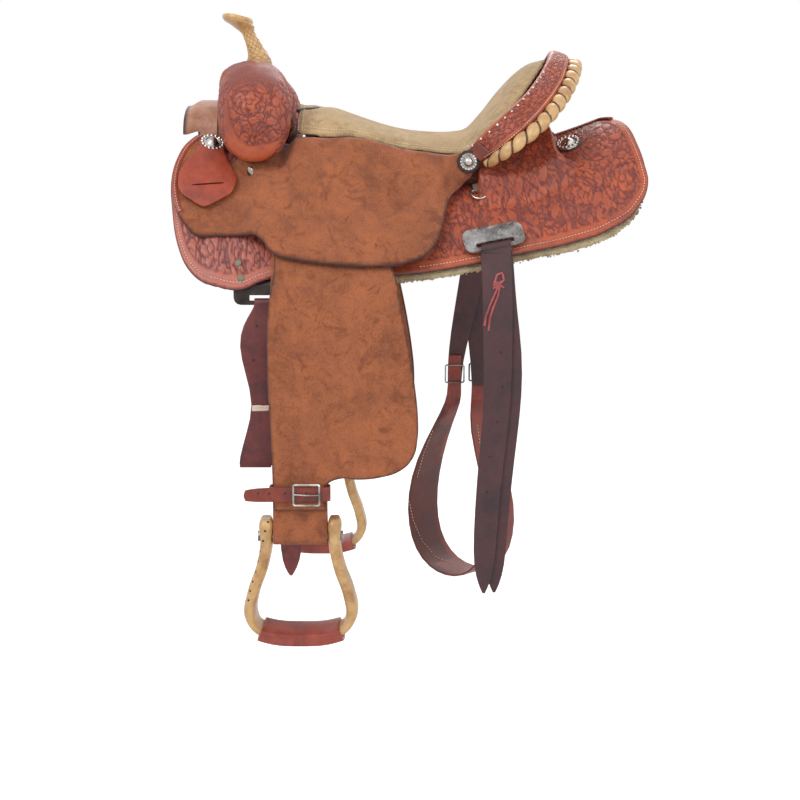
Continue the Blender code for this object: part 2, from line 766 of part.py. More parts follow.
def make_cantle():
    seam = full_rim(RIM_SEAM)
    bind = full_rim(RIM_BIND)
    outer = [b - (b - a).normalized() * (BIND_R + TOUCH) for a, b in zip(seam, bind)]
    seam = [a - (b - a).normalized() * SEAM_IN for a, b in zip(seam, bind)]
    rings = []
    count = len(seam)
    for i, (a, b) in enumerate(zip(seam, outer)):
        along = (seam[min(i + 1, count - 1)] - seam[max(i - 1, 0)]).normalized()
        across = (b - a).normalized()
        up = along.cross(across).normalized()
        if up.z < 0:
            up = -up
        end = 1.0 - abs(2.0 * i / (count - 1) - 1.0) ** 6
        crown = up * ROLL_CROWN * end
        thick = up * ROLL_T * (0.5 + 0.5 * end)
        middle = (a + b) / 2
        rings.append([a + thick * 0.35, a.lerp(b, 0.2) + thick * 0.5 + crown,
                      middle + thick * 0.5 + crown * 1.5,
                      a.lerp(b, 0.8) + thick * 0.5 + crown, b + thick * 0.35,
                      b - thick * 0.35, middle - thick * 0.5 + crown * 0.5,
                      a - thick * 0.35])
    loft("cantle_roll", rings, LEATHER_RED)
    route = []
    for i, p in enumerate(bind):
        end = abs(2.0 * i / (len(bind) - 1) - 1.0) ** 8
        route.append((p.x, p.y, p.z, 1.0 - 0.5 * end))
    wire("cantle_binding", route, BIND_R, RAWHIDE)
    make_cantle_board()


BOARD_T = 0.013
BOARD_ROW = 10
BOARD_FOOT = 0.25


def make_cantle_board():
    """The board stands on the bars under the back of the seat, and its rear
    face carries the cantle back."""
    start = BOARD_ROW / (len(SEAT_ROWS) - 1)
    span = 1.0 - 2.0 / SEAT_ACROSS

    def front(u, v):
        return seat_under(start + (1.0 - start) * u, 0.5 + (v - 0.5) * span,
                          SEAT_T + LAYER)

    def back(u, v):
        spot = front(u, v)
        top = front(1.0, v)
        foot = front(0.0, v)
        rear_foot = Vector((max(foot.x + 0.055, top.x - 0.030), foot.y, 0.0))
        rear_foot.z = board_rest(rear_foot, top.z)
        if u <= BOARD_FOOT:
            flat = foot.lerp(rear_foot, u / BOARD_FOOT)
            flat.z = board_rest(flat, foot.z)
            return flat
        rear_top = top + Vector((BOARD_T * 0.8, top.y * 0.03, -0.006))
        return rear_foot.lerp(rear_top, (u - BOARD_FOOT) / (1.0 - BOARD_FOOT))

    def board_rest(spot, limit):
        """Height of the bars under a point, kept below the board's face."""
        y = max(abs(spot.y), BAR_INNER + 0.012)
        return min(height_over(spot.x, y, BAR_HIGH + 3 * LAYER), limit - 0.003)

    slab("cantle_board", (4, SEAT_ACROSS - 2), front, back, WOOD)

    def skin(u, v, lift):
        along = 0.36 + 0.58 * u
        a = back(along, v)
        b = back(min(1.0, along + 0.04), v)
        c = back(along, min(1.0, v + 0.02))
        d = back(along, max(0.0, v - 0.02))
        normal = (b - a).cross(c - d).normalized()
        if normal.x < 0:
            normal = -normal
        return a + normal * lift

    slab("cantle_back", (4, SEAT_ACROSS - 2), lambda u, v: skin(u, v, 2 * LAYER + COVER_T),
         lambda u, v: skin(u, v, 2 * LAYER), LEATHER_RED)


# Stirrup leathers, fenders and hobble straps

LEG_INNER = hang_profile(LEG_X, INNER_STRAND, HANG_START, HANG_EASE)
LEG_OUTER = hang_profile(LEG_X, OUTER_STRAND, HANG_START, HANG_EASE)
FENDER_SKIN = hang_profile(LEG_X, FENDER_LOW, HANG_START, HANG_EASE)
BOLT_Y = (LEG_INNER(BOLT_Z) + LEG_OUTER(BOLT_Z)) / 2


def leg_top(n):
    return on_back(LEG_X, BAR_OUTER + SLIDE, n).z


def leather_route(side):
    """Down the inner strand, round the roller and up the outer strand, with
    both ends rounded where they meet the bar."""
    half = LEATHER_W / 2
    ends = [(0.0008, 0.012), (0.005, 0.0205), (0.012, 0.0278), (0.022, 0.0345),
            (0.036, half)]
    heights = [-0.075, -0.100, -0.125, -0.150, -0.170, -0.190, -0.210, -0.230,
               -0.330, -0.430, -0.480]
    reach = ROLLER_R + TOUCH + LEATHER_T / 2
    inner = [(LEG_INNER, leg_top(INNER_STRAND) - 0.72 * d, w) for d, w in ends]
    inner += [(LEG_INNER, z, half) for z in heights]
    route = [(Vector((LEG_X, skin(z), z)), w) for skin, z, w in inner]
    for share, z in ((0.25, BOLT_Z + 0.024), (0.7, BOLT_Z + 0.012)):
        y = LEG_INNER(z) + (BOLT_Y - reach - LEG_INNER(z)) * share
        route.append((Vector((LEG_X, y, z)), half))
    for i in range(9):
        angle = math.pi * (1.0 + i / 8.0)
        route.append((Vector((LEG_X, BOLT_Y + reach * math.cos(angle),
                              BOLT_Z + reach * math.sin(angle))), half))
    for share, z in ((0.7, BOLT_Z + 0.012), (0.25, BOLT_Z + 0.024)):
        y = LEG_OUTER(z) + (BOLT_Y + reach - LEG_OUTER(z)) * share
        route.append((Vector((LEG_X, y, z)), half))
    outer = [(LEG_OUTER, z, half) for z in heights[::-1]]
    outer += [(LEG_OUTER, leg_top(OUTER_STRAND) - 0.72 * d, w)
              for d, w in ends[::-1]]
    route += [(Vector((LEG_X, skin(z), z)), w) for skin, z, w in outer]
    return [(flip(c, side), Vector((w, 0, 0))) for c, w in route]


def hobble_route(side):
    """One turn round the leathers, then a second layer that ends in the free
    tip ahead of them."""
    half = LEATHER_W / 2
    fit = SLIDE + HOBBLE_T / 2
    low = LEG_INNER(HOBBLE_Z) - LEATHER_T / 2 - fit
    high = FENDER_SKIN(HOBBLE_Z) + FENDER_T + fit
    lap = HOBBLE_T + TOUCH * 2
    r = 0.004
    spots = [(0.018, high), (-half, high), (-half - fit, high - r),
             (-half - fit, (low + high) / 2), (-half - fit, low + r),
             (-half, low), (0.0, low), (half, low), (half + fit, low + r),
             (half + fit, (low + high) / 2), (half + fit + 0.0008, high - 0.001),
             (half - 0.002, high + lap * 0.8), (0.024, high + lap), (0.0, high + lap),
             (-0.030, high + lap), (-0.060, high + lap + 0.003),
             (-0.074, high + lap + 0.006), (-0.0765, high + lap + 0.0065)]
    widths = [HOBBLE_W / 2] * (len(spots) - 2) + [HOBBLE_W * 0.38, HOBBLE_W * 0.12]
    return [(flip((LEG_X + x, y, HOBBLE_Z), side), Vector((0, 0, w)))
            for (x, y), w in zip(spots, widths)]


def make_leathers(word, side):
    out = Vector((0, side, 0))
    fender = sheet("fender_" + word, FENDER_OUTLINE,
                   lambda x, z: flip((x, FENDER_SKIN(z), z), side),
                   FENDER_T, ROUGHOUT, (1.0, 0.025), 2, out)
    leather = ribbon("stirrup_leather_" + word, leather_route(side), BURGUNDY,
                     LEATHER_T)
    hobble = ribbon("hobble_strap_" + word, hobble_route(side), ROUGHOUT, HOBBLE_T)
    y = FENDER_SKIN(HOBBLE_Z) + FENDER_T + SLIDE + 2 * HOBBLE_T + 3 * TOUCH
    y += BUCKLE_WIRE + TOUCH
    frame = []
    for x, z in ((-0.018, -0.013), (-0.0165, -0.0145), (0.0165, -0.0145),
                 (0.018, -0.013), (0.018, 0.013), (0.0165, 0.0145),
                 (-0.0165, 0.0145), (-0.018, 0.013)):
        frame.append(flip((LEG_X + 0.010 + x, y, HOBBLE_Z + z), side))
    buckle = wire("hobble_buckle_" + word, frame, BUCKLE_WIRE, SILVER, True, 1)
    pivot = add_pivot("leather_pivot_" + word, flip((LEG_X, 0.149, PIVOT_Z), side))
    hang_on([fender, leather, hobble, buckle], pivot)


# Stirrups

STIRRUP_RINGS = 29
STIRRUP_SIDES = 8
HEAD_R = 0.0075
HEAD_T = 0.0025


def stirrup_line():
    """Half-width, height from the bolt, half-wall and half-depth along it."""
    wall = STIRRUP_WALL / 2
    top = STIRRUP_DEPTH_TOP / 2
    deep = STIRRUP_DEPTH / 2
    inner = LEATHER_W / 2 + SLIDE
    low = -STIRRUP_DROP
    half = [(inner + wall, STIRRUP_ARM_TOP, wall * 0.8, top * 0.8),
            (inner + wall, STIRRUP_ARM_TOP - 0.004, wall, top),
            (inner + wall, 0.0, wall, top), (inner + wall, -HEAD_R - SLIDE, wall, top),
            (inner + wall + 0.006, -0.042, wall, top * 1.1),
            (STIRRUP_HALF - 0.004, -0.082, wall, deep * 0.9),
            (STIRRUP_HALF, low + 0.030, wall, deep),
            (STIRRUP_HALF - 0.009, low + 0.010, SOLE_T / 2, deep),
            (0.040, low + 0.001, SOLE_T / 2, deep), (0.0, low, SOLE_T / 2, deep)]
    points = [(-x, 0.0, z, w, d) for x, z, w, d in half]
    points += [(x, 0.0, z, w, d) for x, z, w, d in half[-2::-1]]
    return smooth_line(points, STIRRUP_RINGS)


def stirrup_rings(line, side, extra, chosen):
    rings = []
    for i in chosen:
        x, _, z, wall, deep = line[i]
        a = Vector(line[max(0, i - 1)][:3])
        b = Vector(line[min(len(line) - 1, i + 1)][:3])
        along = (b - a).normalized()
        across = Vector((along.z, 0.0, -along.x))
        centre = Vector((LEG_X + x, BOLT_Y, BOLT_Z + z))
        ring = []
        for k in range(STIRRUP_SIDES):
            angle = 2 * math.pi * (k + 0.5) / STIRRUP_SIDES
            c, s = math.cos(angle), math.sin(angle)
            c = math.copysign(abs(c) ** 0.55, c)
            s = math.copysign(abs(s) ** 0.55, s)
            spot = centre + across * (wall + extra) * c
            spot += Vector((0, 1, 0)) * (deep + extra) * s
            ring.append(flip(spot, side))
        rings.append(ring)
    return rings


def make_stirrup(word, side):
    line = stirrup_line()
    stirrup = loft("stirrup_" + word, stirrup_rings(line, side, 0.0, range(len(line))),
                   RAWHIDE)
    drill = turned("drill_" + word, [(0.0, 0.08), (BOLT_R + TOUCH, 0.08),
                                     (BOLT_R + TOUCH, -0.08), (0.0, -0.08)],
                   flip((LEG_X, BOLT_Y, BOLT_Z), side), (1, 0, 0), STEEL, 10)
    as_cutter(drill)
    cut(stirrup, drill)
    chosen = [i for i, p in enumerate(line) if abs(p[0]) < TREAD_HALF and p[2] < -0.1]
    tread = loft("stirrup_tread_" + word,
                 stirrup_rings(line, side, TREAD_T + TOUCH, chosen), BURGUNDY,
                 False, TREAD_T)
    inner = LEATHER_W / 2 + SLIDE
    outer = inner + STIRRUP_WALL
    seat = outer + 2 * TOUCH
    shoulder = inner - 2 * TOUCH
    profile = [(0.0, seat + HEAD_T), (HEAD_R, seat + HEAD_T), (HEAD_R, seat),
               (BOLT_R, seat), (BOLT_R, shoulder), (ROLLER_R, shoulder),
               (ROLLER_R, -shoulder), (BOLT_R, -shoulder), (BOLT_R, -seat),
               (HEAD_R, -seat), (HEAD_R, -seat - HEAD_T), (0.0, -seat - HEAD_T)]
    bolt = turned("stirrup_bolt_" + word, profile,
                  flip((LEG_X, BOLT_Y, BOLT_Z), side), (1, 0, 0), STEEL, 10)
    pivot = add_pivot("stirrup_pivot_" + word, flip((LEG_X, BOLT_Y, BOLT_Z), side))
    hang_on([stirrup, tread, bolt], pivot)


def as_cutter(obj):
    PARTS.objects.unlink(obj)
    CUTTERS.objects.link(obj)
    obj.display_type = "WIRE"
    obj.hide_render = True


def cut(obj, cutter):
    hole = obj.modifiers.new("cut", "BOOLEAN")
    hole.operation = "DIFFERENCE"
    hole.object = cutter


# Rigging plates, billets and latigo

def tangent_frame(x, y, n, turn=0.0):
    """Matrix on the +Y flank whose X runs rearwards, Y up the flank and Z
    outwards; a turn raises the rear end."""
    normal = back_normal(x, y)
    along = (Vector((1, 0, 0)) - normal * normal.x).normalized()
    along = Matrix.Rotation(-turn, 3, normal) @ along
    up = along.cross(normal)
    frame = Matrix((along, up, normal)).transposed().to_4x4()
    frame.translation = on_back(x, y, n)
    return frame


def mirrored(frame, side):
    if side < 0:
        return Matrix.Diagonal((1, -1, 1, 1)) @ frame
    return frame


def plate(name, points, holes, thickness, frame, finish):
    """A flat plate with slots, its underside on the frame's X-Y plane."""
    curve = bpy.data.curves.new(name, "CURVE")
    curve.dimensions = "2D"
    curve.fill_mode = "BOTH"
    curve.extrude = thickness / 2
    curve.render_resolution_u = 0
    for loop in [points] + holes:
        spline = curve.splines.new("POLY")
        spline.points.add(len(loop) - 1)
        for knot, point in zip(spline.points, loop):
            knot.co = (point[0], point[1], 0.0, 1.0)
        spline.use_cyclic_u = True
    obj = bpy.data.objects.new(name, curve)
    bpy.context.scene.collection.objects.link(obj)
    bpy.context.view_layer.update()
    graph = bpy.context.evaluated_depsgraph_get()
    mesh = bpy.data.meshes.new_from_object(obj.evaluated_get(graph))
    bpy.data.objects.remove(obj, do_unlink=True)
    bm = bmesh.new()
    bm.from_mesh(mesh)
    bpy.data.meshes.remove(mesh)
    bmesh.ops.remove_doubles(bm, verts=bm.verts[:], dist=0.00001)
    bmesh.ops.translate(bm, verts=bm.verts[:], vec=(0, 0, thickness / 2))
    bmesh.ops.transform(bm, matrix=frame, verts=bm.verts[:])
    return from_bmesh(name, bm, finish, 30.0)


def round_rect(length, height, radius, steps=4, centre=(0.0, 0.0)):
    points = []
    for k, (sx, sy) in enumerate(((1, 1), (-1, 1), (-1, -1), (1, -1))):
        for i in range(steps + 1):
            angle = math.pi / 2 * (k + i / steps)
            points.append((centre[0] + sx * (length / 2 - radius) + radius * math.cos(angle),
                           centre[1] + sy * (height / 2 - radius) + radius * math.sin(angle)))
    return points


REAR_RAIL = -(SLOT_H / 2 + RAIL_H / 2)
REAR_SLOT_Y = -PLATE_H / 2 + RAIL_H + SLOT_H / 2
REAR_LIFT = SKIRT_T + TOUCH + BILLET_T + EYE_R


def rear_rail():
    """The lower rail's centre on the off rear plate and its direction."""
    frame = tangent_frame(REAR_PLATE_X, REAR_PLATE_Y, REAR_LIFT + TOUCH, PLATE_TILT)
    centre = frame @ Vector((0.0, REAR_SLOT_Y + REAR_RAIL, 0.0))
    return centre, frame.to_3x3() @ Vector((1, 0, 0))


def make_rear_plate(word, side):
    frame = tangent_frame(REAR_PLATE_X, REAR_PLATE_Y, REAR_LIFT + TOUCH - PLATE_T / 2,
                          PLATE_TILT)
    frame = mirrored(frame, side)
    outline = round_rect(PLATE_L, PLATE_H, 0.012, 5)
    slot = round_rect(SLOT_L, SLOT_H, 0.0025, 2, (0.0, REAR_SLOT_Y))
    face = plate("rear_rigging_plate_" + word, outline, [slot[::-1]], PLATE_T, frame,
                 SILVER)
    base_low = SKIRT_T + TOUCH
    base = tangent_frame(REAR_PLATE_X, REAR_PLATE_Y, base_low, PLATE_TILT)
    height = PLATE_H / 2 - (REAR_SLOT_Y + SLOT_H / 2) - 0.006
    block = plate("rear_plate_base_" + word,
                  round_rect(PLATE_L - 0.016, height, 0.005, 3,
                             (0.0, PLATE_H / 2 - height / 2 - 0.004)), [],
                  REAR_LIFT + TOUCH - base_low - PLATE_T / 2 + 0.001,
                  mirrored(base, side), STEEL)
    as_cutter(block)
    joined = face.modifiers.new("base", "BOOLEAN")
    joined.operation = "UNION"
    joined.object = block


def billet_route(rail, legs, thickness, radius, side):
    """A strap folded over a rail: legs hold the back and the front layer, each
    a list of (x, y, z, half-width) from the rail down."""
    centre, along = rail
    back, front = legs
    route = [(Vector((x, y, z)), Vector((w, 0, 0))) for x, y, z, w in back[::-1]]
    first, last = back[0], front[0]
    reach = radius + thickness / 2
    for i in range(9):
        angle = math.radians(205.0 - 240.0 * i / 8.0)
        spot = centre + Vector((0.0, math.cos(angle), math.sin(angle))) * reach
        route.append((spot, along * (first[3] + (last[3] - first[3]) * i / 8.0)))
    route += [(Vector((x, y, z)), Vector((w, 0, 0))) for x, y, z, w in front]
    return [(flip(c, side), flip(w, side)) for c, w in route]


BILLET_START = -0.142
BILLET_EASE = 0.060


def billet_skin():
    """The back layer of a rear billet, down the skirt and then hanging."""
    return hang_profile(REAR_PLATE_X, SKIRT_T + SLIDE + BILLET_T / 2, BILLET_START,
                        BILLET_EASE)


def rear_billet_legs():
    """Layers of a rear billet: a slight S as the leather has set."""
    skin = billet_skin()
    gap = BILLET_T + TOUCH
    back, front = [], []
    for z, x, w in ((-0.125, 0.133, 1.0), (-0.150, 0.134, 1.0), (-0.200, 0.136, 0.98),
                    (-0.260, 0.141, 0.95), (-0.320, 0.142, 0.9), (-0.380, 0.137, 0.86),
                    (-0.440, 0.131, 0.82), (-0.520, 0.126, 0.78), (-0.566, 0.125, 0.7),
                    (-0.592, 0.125, 0.35), (-0.604, 0.125, 0.08)):
        half = BILLET_W / 2 * w
        drift = 0.006 * smoothstep((-0.17 - z) / 0.1)
        back.append((x + drift + 0.003, skin(z), z, half))
        front.append((x - drift, skin(z) + gap + 0.0008, z, half))
    return back, front


def make_rear_billet(word, side):
    rail = rear_rail()
    legs = rear_billet_legs()
    route = billet_route(rail, legs, BILLET_T, EYE_R, side)
    billet = ribbon("rear_billet_" + word, route, DARK_LEATHER, BILLET_T)
    pivot = add_pivot("rear_billet_pivot_" + word, flip(rail[0], side))
    hang_on([billet], pivot)


def front_skin(x):
    """Inner face of the front plate: under the skirt, then standing down."""
    return hang_profile(x, -(2 * LAYER + PLATE_T), FRONT_START, FRONT_EASE)


def make_front_plate(word, side):
    """Rigging plate under the skirt: its lower edge, with the slot, stands
    down past the fleece."""
    x0 = FRONT_PLATE_X
    bm = outline_face(round_rect(FRONT_PLATE_L, FRONT_PLATE_H, 0.010, 3,
                                 (x0, FRONT_RAIL_Z + (FRONT_PLATE_H - RAIL_H) / 2)), 1)
    slot = FRONT_RAIL_Z + RAIL_H / 2
    cut_grid(bm, 0.050, 0.012)
    for vert in bm.verts:
        vert.co = flip((vert.co.x, front_skin(vert.co.x)(vert.co.y), vert.co.y), side)
    mesh = bpy.data.meshes.new("front_rigging_plate_" + word)
    bmesh.ops.recalc_face_normals(bm, faces=bm.faces[:])
    if sum((f.normal.y * side for f in bm.faces)) < 0:
        bmesh.ops.reverse_faces(bm, faces=bm.faces[:])
    bm.to_mesh(mesh)
    bm.free()
    obj = add_object("front_rigging_plate_" + word, mesh, STEEL)
    wall = obj.modifiers.new("thickness", "SOLIDIFY")
    wall.thickness = PLATE_T
    wall.offset = 1.0
    bpy.ops.mesh.primitive_cube_add(size=1.0)
    block = bpy.context.active_object
    block.name = "slot_" + word
    block.scale = (LATIGO_W + 0.012, 0.06, SLOT_H)
    block.location = flip((x0, front_skin(x0)(slot), slot + SLOT_H / 2), side)
    for home in list(block.users_collection):
        home.objects.unlink(block)
    PARTS.objects.link(block)
    as_cutter(block)
    cut(obj, block)


def front_rail():
    y = front_skin(FRONT_PLATE_X)(FRONT_RAIL_Z) + PLATE_T / 2
    return Vector((FRONT_PLATE_X, y, FRONT_RAIL_Z)), Vector((1, 0, 0))


def make_latigo():
    """Near side: a long strap, folded up and tied at half its hanging length."""
    side = -1.0
    rail = front_rail()
    y = rail[0].y
    gap = BILLET_T / 2 + TOUCH
    back = [(-0.184, y - gap - 0.001, -0.202, 0.019), (-0.188, y - 0.006, -0.222, 0.018),
            (-0.190, y - 0.009, -0.250, 0.018), (-0.193, y - 0.006, -0.290, 0.015),
            (-0.195, y - gap - 0.001, -0.335, 0.010), (-0.196, y - 0.007, -0.375, 0.017),
            (-0.200, y - 0.009, -0.412, 0.021), (-0.201, y - 0.006, -0.424, 0.020)]
    front = [(-0.186, y + gap + 0.001, -0.202, 0.019), (-0.198, y + 0.006, -0.222, 0.020),
             (-0.204, y + 0.009, -0.250, 0.021), (-0.200, y + 0.006, -0.290, 0.016),
             (-0.195, y + gap + 0.001, -0.335, 0.010), (-0.197, y + 0.007, -0.375, 0.019),
             (-0.203, y + 0.009, -0.412, 0.024), (-0.204, y + 0.006, -0.424, 0.022)]
    route = billet_route(rail, (back, front), BILLET_T, EYE_R, side)
    latigo = ribbon("latigo_near", route, BURGUNDY, BILLET_T)
    hang_on([latigo], add_pivot("latigo_pivot_near", flip(rail[0], side)))


def make_off_billet():
    """Off side: a doubled strap that curls in below the horse's flank."""
    side = 1.0
    rail = front_rail()
    y = rail[0].y
    gap = BILLET_T / 2 + TOUCH
    back, front = [], []
    for z, x, w in ((-0.206, -0.1835, 1.0), (-0.260, -0.184, 1.0), (-0.330, -0.184, 1.0),
                    (-0.410, -0.185, 1.0), (-0.500, -0.185, 1.0), (-0.580, -0.185, 1.0),
                    (-0.650, -0.186, 0.95), (-0.678, -0.187, 0.5), (-0.690, -0.187, 0.1)):
        drop = -0.206 - z
        lean = 0.062 * smoothstep(drop / 0.42)
        half = LATIGO_W / 2 * w
        if z > -0.60:
            back.append((x, y - gap - 0.0006 - lean, z, half))
        front.append((x, y + gap - lean, z, half))
    route = billet_route(rail, (back, front), BILLET_T, EYE_R, side)
    billet = ribbon("front_billet_off", route, DARK_LEATHER, BILLET_T)
    hang_on([billet], add_pivot("front_billet_pivot_off", rail[0]))


# Flank cinch, hung from the off rear billet

CINCH_W = 0.074
CINCH_T = 0.004
CINCH_SPAN = 0.190
CINCH_TURN = math.radians(45.0)
CINCH_X = 0.106
CINCH_Y = 0.222
CINCH_BOTTOM = -0.705
FLANK_BUCKLE_Z = -0.350


def make_off_billet_rear():
    rail = rear_rail()
    skin = billet_skin()
    gap = BILLET_T + TOUCH
    back, front = [], []
    for z, back_x, front_x, w in (
            (-0.125, 0.130, 0.132, 1.0), (-0.160, 0.126, 0.131, 0.98),
            (-0.220, 0.116, 0.130, 0.92), (-0.280, 0.104, 0.133, 0.8),
            (-0.330, 0.0955, 0.1355, 0.62), (-0.372, 0.0945, 0.1365, 0.56)):
        half = BILLET_W / 2 * w
        back.append((back_x, skin(z), z, half))
        front.append((front_x, skin(z) + gap + 0.0008, z, half))
    route = billet_route(rail, (back, front), BILLET_T, EYE_R, 1.0)
    billet = ribbon("rear_billet_off", route, DARK_LEATHER, BILLET_T)
    turn = CINCH_TURN
    wide = Vector((math.cos(turn), math.sin(turn), 0.0))
    deep = Vector((-math.sin(turn), math.cos(turn), 0.0))
    middle = Vector((CINCH_X, CINCH_Y, 0.0))
    y_back, y_front = back[-1][1], front[-1][1]
    lift = BILLET_T / 2 + TOUCH + CINCH_T / 2
    start = Vector((0.0945, y_back - lift, -0.318))
    finish = Vector((0.1365, y_front + lift, -0.318))
    half = CINCH_SPAN / 2
    spots = [(start, Vector((0.011, 0, 0))),
             (start + Vector((0, 0, -0.058)), Vector((0.0115, 0, 0))),
             (start + Vector((-0.001, -0.002, -0.080)), Vector((0.013, 0.002, 0)))]
    limb = ((0.42, -0.440, 0.6), (0.80, -0.510, 0.9), (0.98, -0.575, 1.0),
            (0.96, -0.630, 1.0), (0.78, -0.672, 1.0), (0.42, -0.698, 1.0),
            (0.0, CINCH_BOTTOM, 1.0))
    for reach, z, w in limb:
        spot = middle + deep * half * reach
        spot.z = z
        spots.append((spot, wide * CINCH_W / 2 * w))
    for reach, z, w in limb[-2::-1]:
        spot = middle - deep * half * reach
        spot.z = z
        spots.append((spot, wide * CINCH_W / 2 * w))
    spots += [(finish + Vector((0.001, 0.002, -0.080)), Vector((0.013, 0.002, 0))),
              (finish + Vector((0, 0, -0.058)), Vector((0.0115, 0, 0))),
              (finish, Vector((0.011, 0, 0)))]
    cinch = ribbon("flank_cinch", spots, LEATHER_RED, CINCH_T)
    buckles = []
    for word, end, out in (("front", start, -1.0), ("rear", finish, 1.0)):
        y = end.y + out * (CINCH_T / 2 + TOUCH + BUCKLE_WIRE)
        ring = []
        for x, z in ((-0.016, -0.013), (-0.0145, -0.015), (0.0145, -0.015),
                     (0.016, -0.013), (0.016, 0.013), (0.0145, 0.015),
                     (-0.0145, 0.015), (-0.016, 0.013)):
            ring.append((end.x + x, y, FLANK_BUCKLE_Z + z))
        buckles.append(wire("flank_buckle_" + word, ring, BUCKLE_WIRE, STEEL, True, 1))
    pivot = add_pivot("rear_billet_pivot_off", rail[0])
    hang_on([billet, cinch] + buckles, pivot)


# Silver: conchos, dees and the strap keepers under the front conchos

FRONT_CONCHO = (-0.2755, 0.0775)
CORNER_CONCHO = (0.1010, 0.1010)
REAR_CONCHO = (0.2480, 0.0600)
KEEPER_T = 0.0035
KEEPER_OUTLINE = [
    (-0.277, 0.064), (-0.267, 0.067), (-0.261, 0.076), (-0.257, 0.090),
    (-0.243, 0.110), (-0.234, 0.123), (-0.240, 0.139, 1), (-0.260, 0.149),
    (-0.277, 0.155), (-0.293, 0.151), (-0.309, 0.147, 1), (-0.317, 0.134),
    (-0.308, 0.116), (-0.296, 0.098), (-0.2905, 0.080), (-0.286, 0.069)]
KEEPER_SLOT = (-0.2735, 0.1335)
KEEPER_SLOT_L = 0.047
KEEPER_SLOT_H = 0.0025
KEEPER_SLOT_TILT = math.radians(10.0)
ROSETTE_T = 0.003


def outer_face(x, y, height):
    """Point and direction on a panel's outer face, which is height(x, y) over
    the back."""
    step = 0.004
    spot = on_back(x, y, height(x, y))
    along = on_back(x + step, y, height(x + step, y)) - spot
    down = on_back(x, y + step, height(x, y + step)) - spot
    return spot, along.cross(down).normalized()


def concho(name, face, radius, lift, side, gap=TOUCH):
    """A domed silver concho, lifted off the leather, with its screw."""
    spot, axis = face
    h = CONCHO_H * radius / CONCHO_R
    screw = lift - gap
    profile = [(0.0, h), (radius * 0.45, h * 0.93), (radius * 0.72, h * 0.66),
               (radius * 0.82, h * 0.42), (radius * 0.88, h * 0.55),
               (radius * 0.95, h * 0.5), (radius, h * 0.3), (radius, 0.0),
               (SCREW_R, 0.0), (SCREW_R, -screw), (0.0, -screw)]
    return turned(name, profile, flip(spot + axis * lift, side), flip(axis, side),
                  SILVER, 12)


def make_silver(word, side):
    x, y = FRONT_CONCHO
    leather = jockey_height(x, y) + JOCKEY_T
    low = leather + SLIDE

    def keeper_spot(u, v):
        rise = 0.0035 * smoothstep((v - y) / 0.05)
        return flip(on_back(u, v, low + rise), side)

    keeper = sheet("strap_keeper_" + word, KEEPER_OUTLINE, keeper_spot, KEEPER_T,
                   LEATHER_RED, (0.025, 0.020), 2)
    hole = turned("keeper_hole_" + word, [(0.0, 0.03), (SCREW_R + TOUCH, 0.03),
                                          (SCREW_R + TOUCH, -0.03), (0.0, -0.03)],
                  flip(on_back(x, y, low), side), flip(back_normal(x, y), side),
                  STEEL, 8)
    slot = plate("keeper_slot_" + word,
                 round_rect(KEEPER_SLOT_L, KEEPER_SLOT_H, KEEPER_SLOT_H / 2.1, 1), [], 0.020,
                 mirrored(tangent_frame(*KEEPER_SLOT, leather, KEEPER_SLOT_TILT), side), STEEL)
    for cutter in (hole, slot):
        as_cutter(cutter)
        cut(keeper, cutter)
    concho("concho_front_" + word, outer_face(x, y, jockey_outer), CONCHO_R,
           KEEPER_T + 2 * SLIDE, side)
    hang_on([keeper], add_pivot("keeper_pivot_" + word, flip(on_back(x, y, low), side)))
    concho("concho_corner_" + word, outer_face(*CORNER_CONCHO, jockey_outer),
           CORNER_CONCHO_R, ROSETTE_T + 2 * SLIDE, side, SLIDE + 2 * TOUCH)
    concho("concho_rear_" + word, outer_face(*REAR_CONCHO, lambda u, v: SKIRT_T),
           CONCHO_R, ROSETTE_T, side)
    make_dee(word, side)


DEE_X = 0.1125
DEE_Y = 0.1160
DEE_TILT = math.radians(14.0)
TAB_T = 0.0016
TAB_HALF = 0.0055


def make_dee(word, side):
    lift = SKIRT_T + TOUCH + TAB_T + TOUCH + DEE_WIRE
    frame = tangent_frame(DEE_X, DEE_Y, lift, DEE_TILT)
    half = DEE_R
    points = [(-half, 0.0), (-half * 0.4, 0.0), (half * 0.4, 0.0), (half, 0.0)]
    for i in range(1, 10):
        angle = math.pi * i / 10
        points.append((half * math.cos(angle) * 1.08, -0.003 - half * 1.35 * math.sin(angle)))
    ring = [flip(frame @ Vector((x, y, 0.0)), side) for x, y in points]
    dee = wire("dee_ring_" + word, ring, DEE_WIRE, SILVER, True, 1)
    reach = DEE_WIRE + TOUCH + TAB_T / 2
    path = [(0.012, -reach), (0.006, -reach)]
    for i in range(8):
        angle = math.radians(270.0 - 180.0 * i / 7.0)
        path.append((reach * math.cos(angle), reach * math.sin(angle)))
    path += [(0.006, reach), (0.012, reach * 0.5)]
    width = frame.to_3x3() @ Vector((TAB_HALF, 0, 0))
    route = [(flip(frame @ Vector((0.0, b, c)), side), flip(width, side))
             for b, c in path]
    ribbon("dee_tab_" + word, route, DARK_LEATHER, TAB_T)
    hang_on([dee], add_pivot("dee_pivot_" + word, flip(frame.translation, side)))


def main():
    make_skirts()
    make_bars()
    make_fork()
    make_liner()
    make_horn()
    make_seat()
    make_cantle()
    for word, side in SIDES:
        make_leathers(word, side)
        make_stirrup(word, side)
        make_rear_plate(word, side)
        make_front_plate(word, side)
        make_silver(word, side)
    make_rear_billet("near", -1.0)
    make_off_billet_rear()
    make_latigo()
    make_off_billet()
    for obj in PARTS.objects:
        if obj.type == "MESH":
            obj.modifiers.new("facets", "TRIANGULATE")


clear_scene()
PARTS = make_collection(NAME)
CUTTERS = make_collection("cutters")
main()
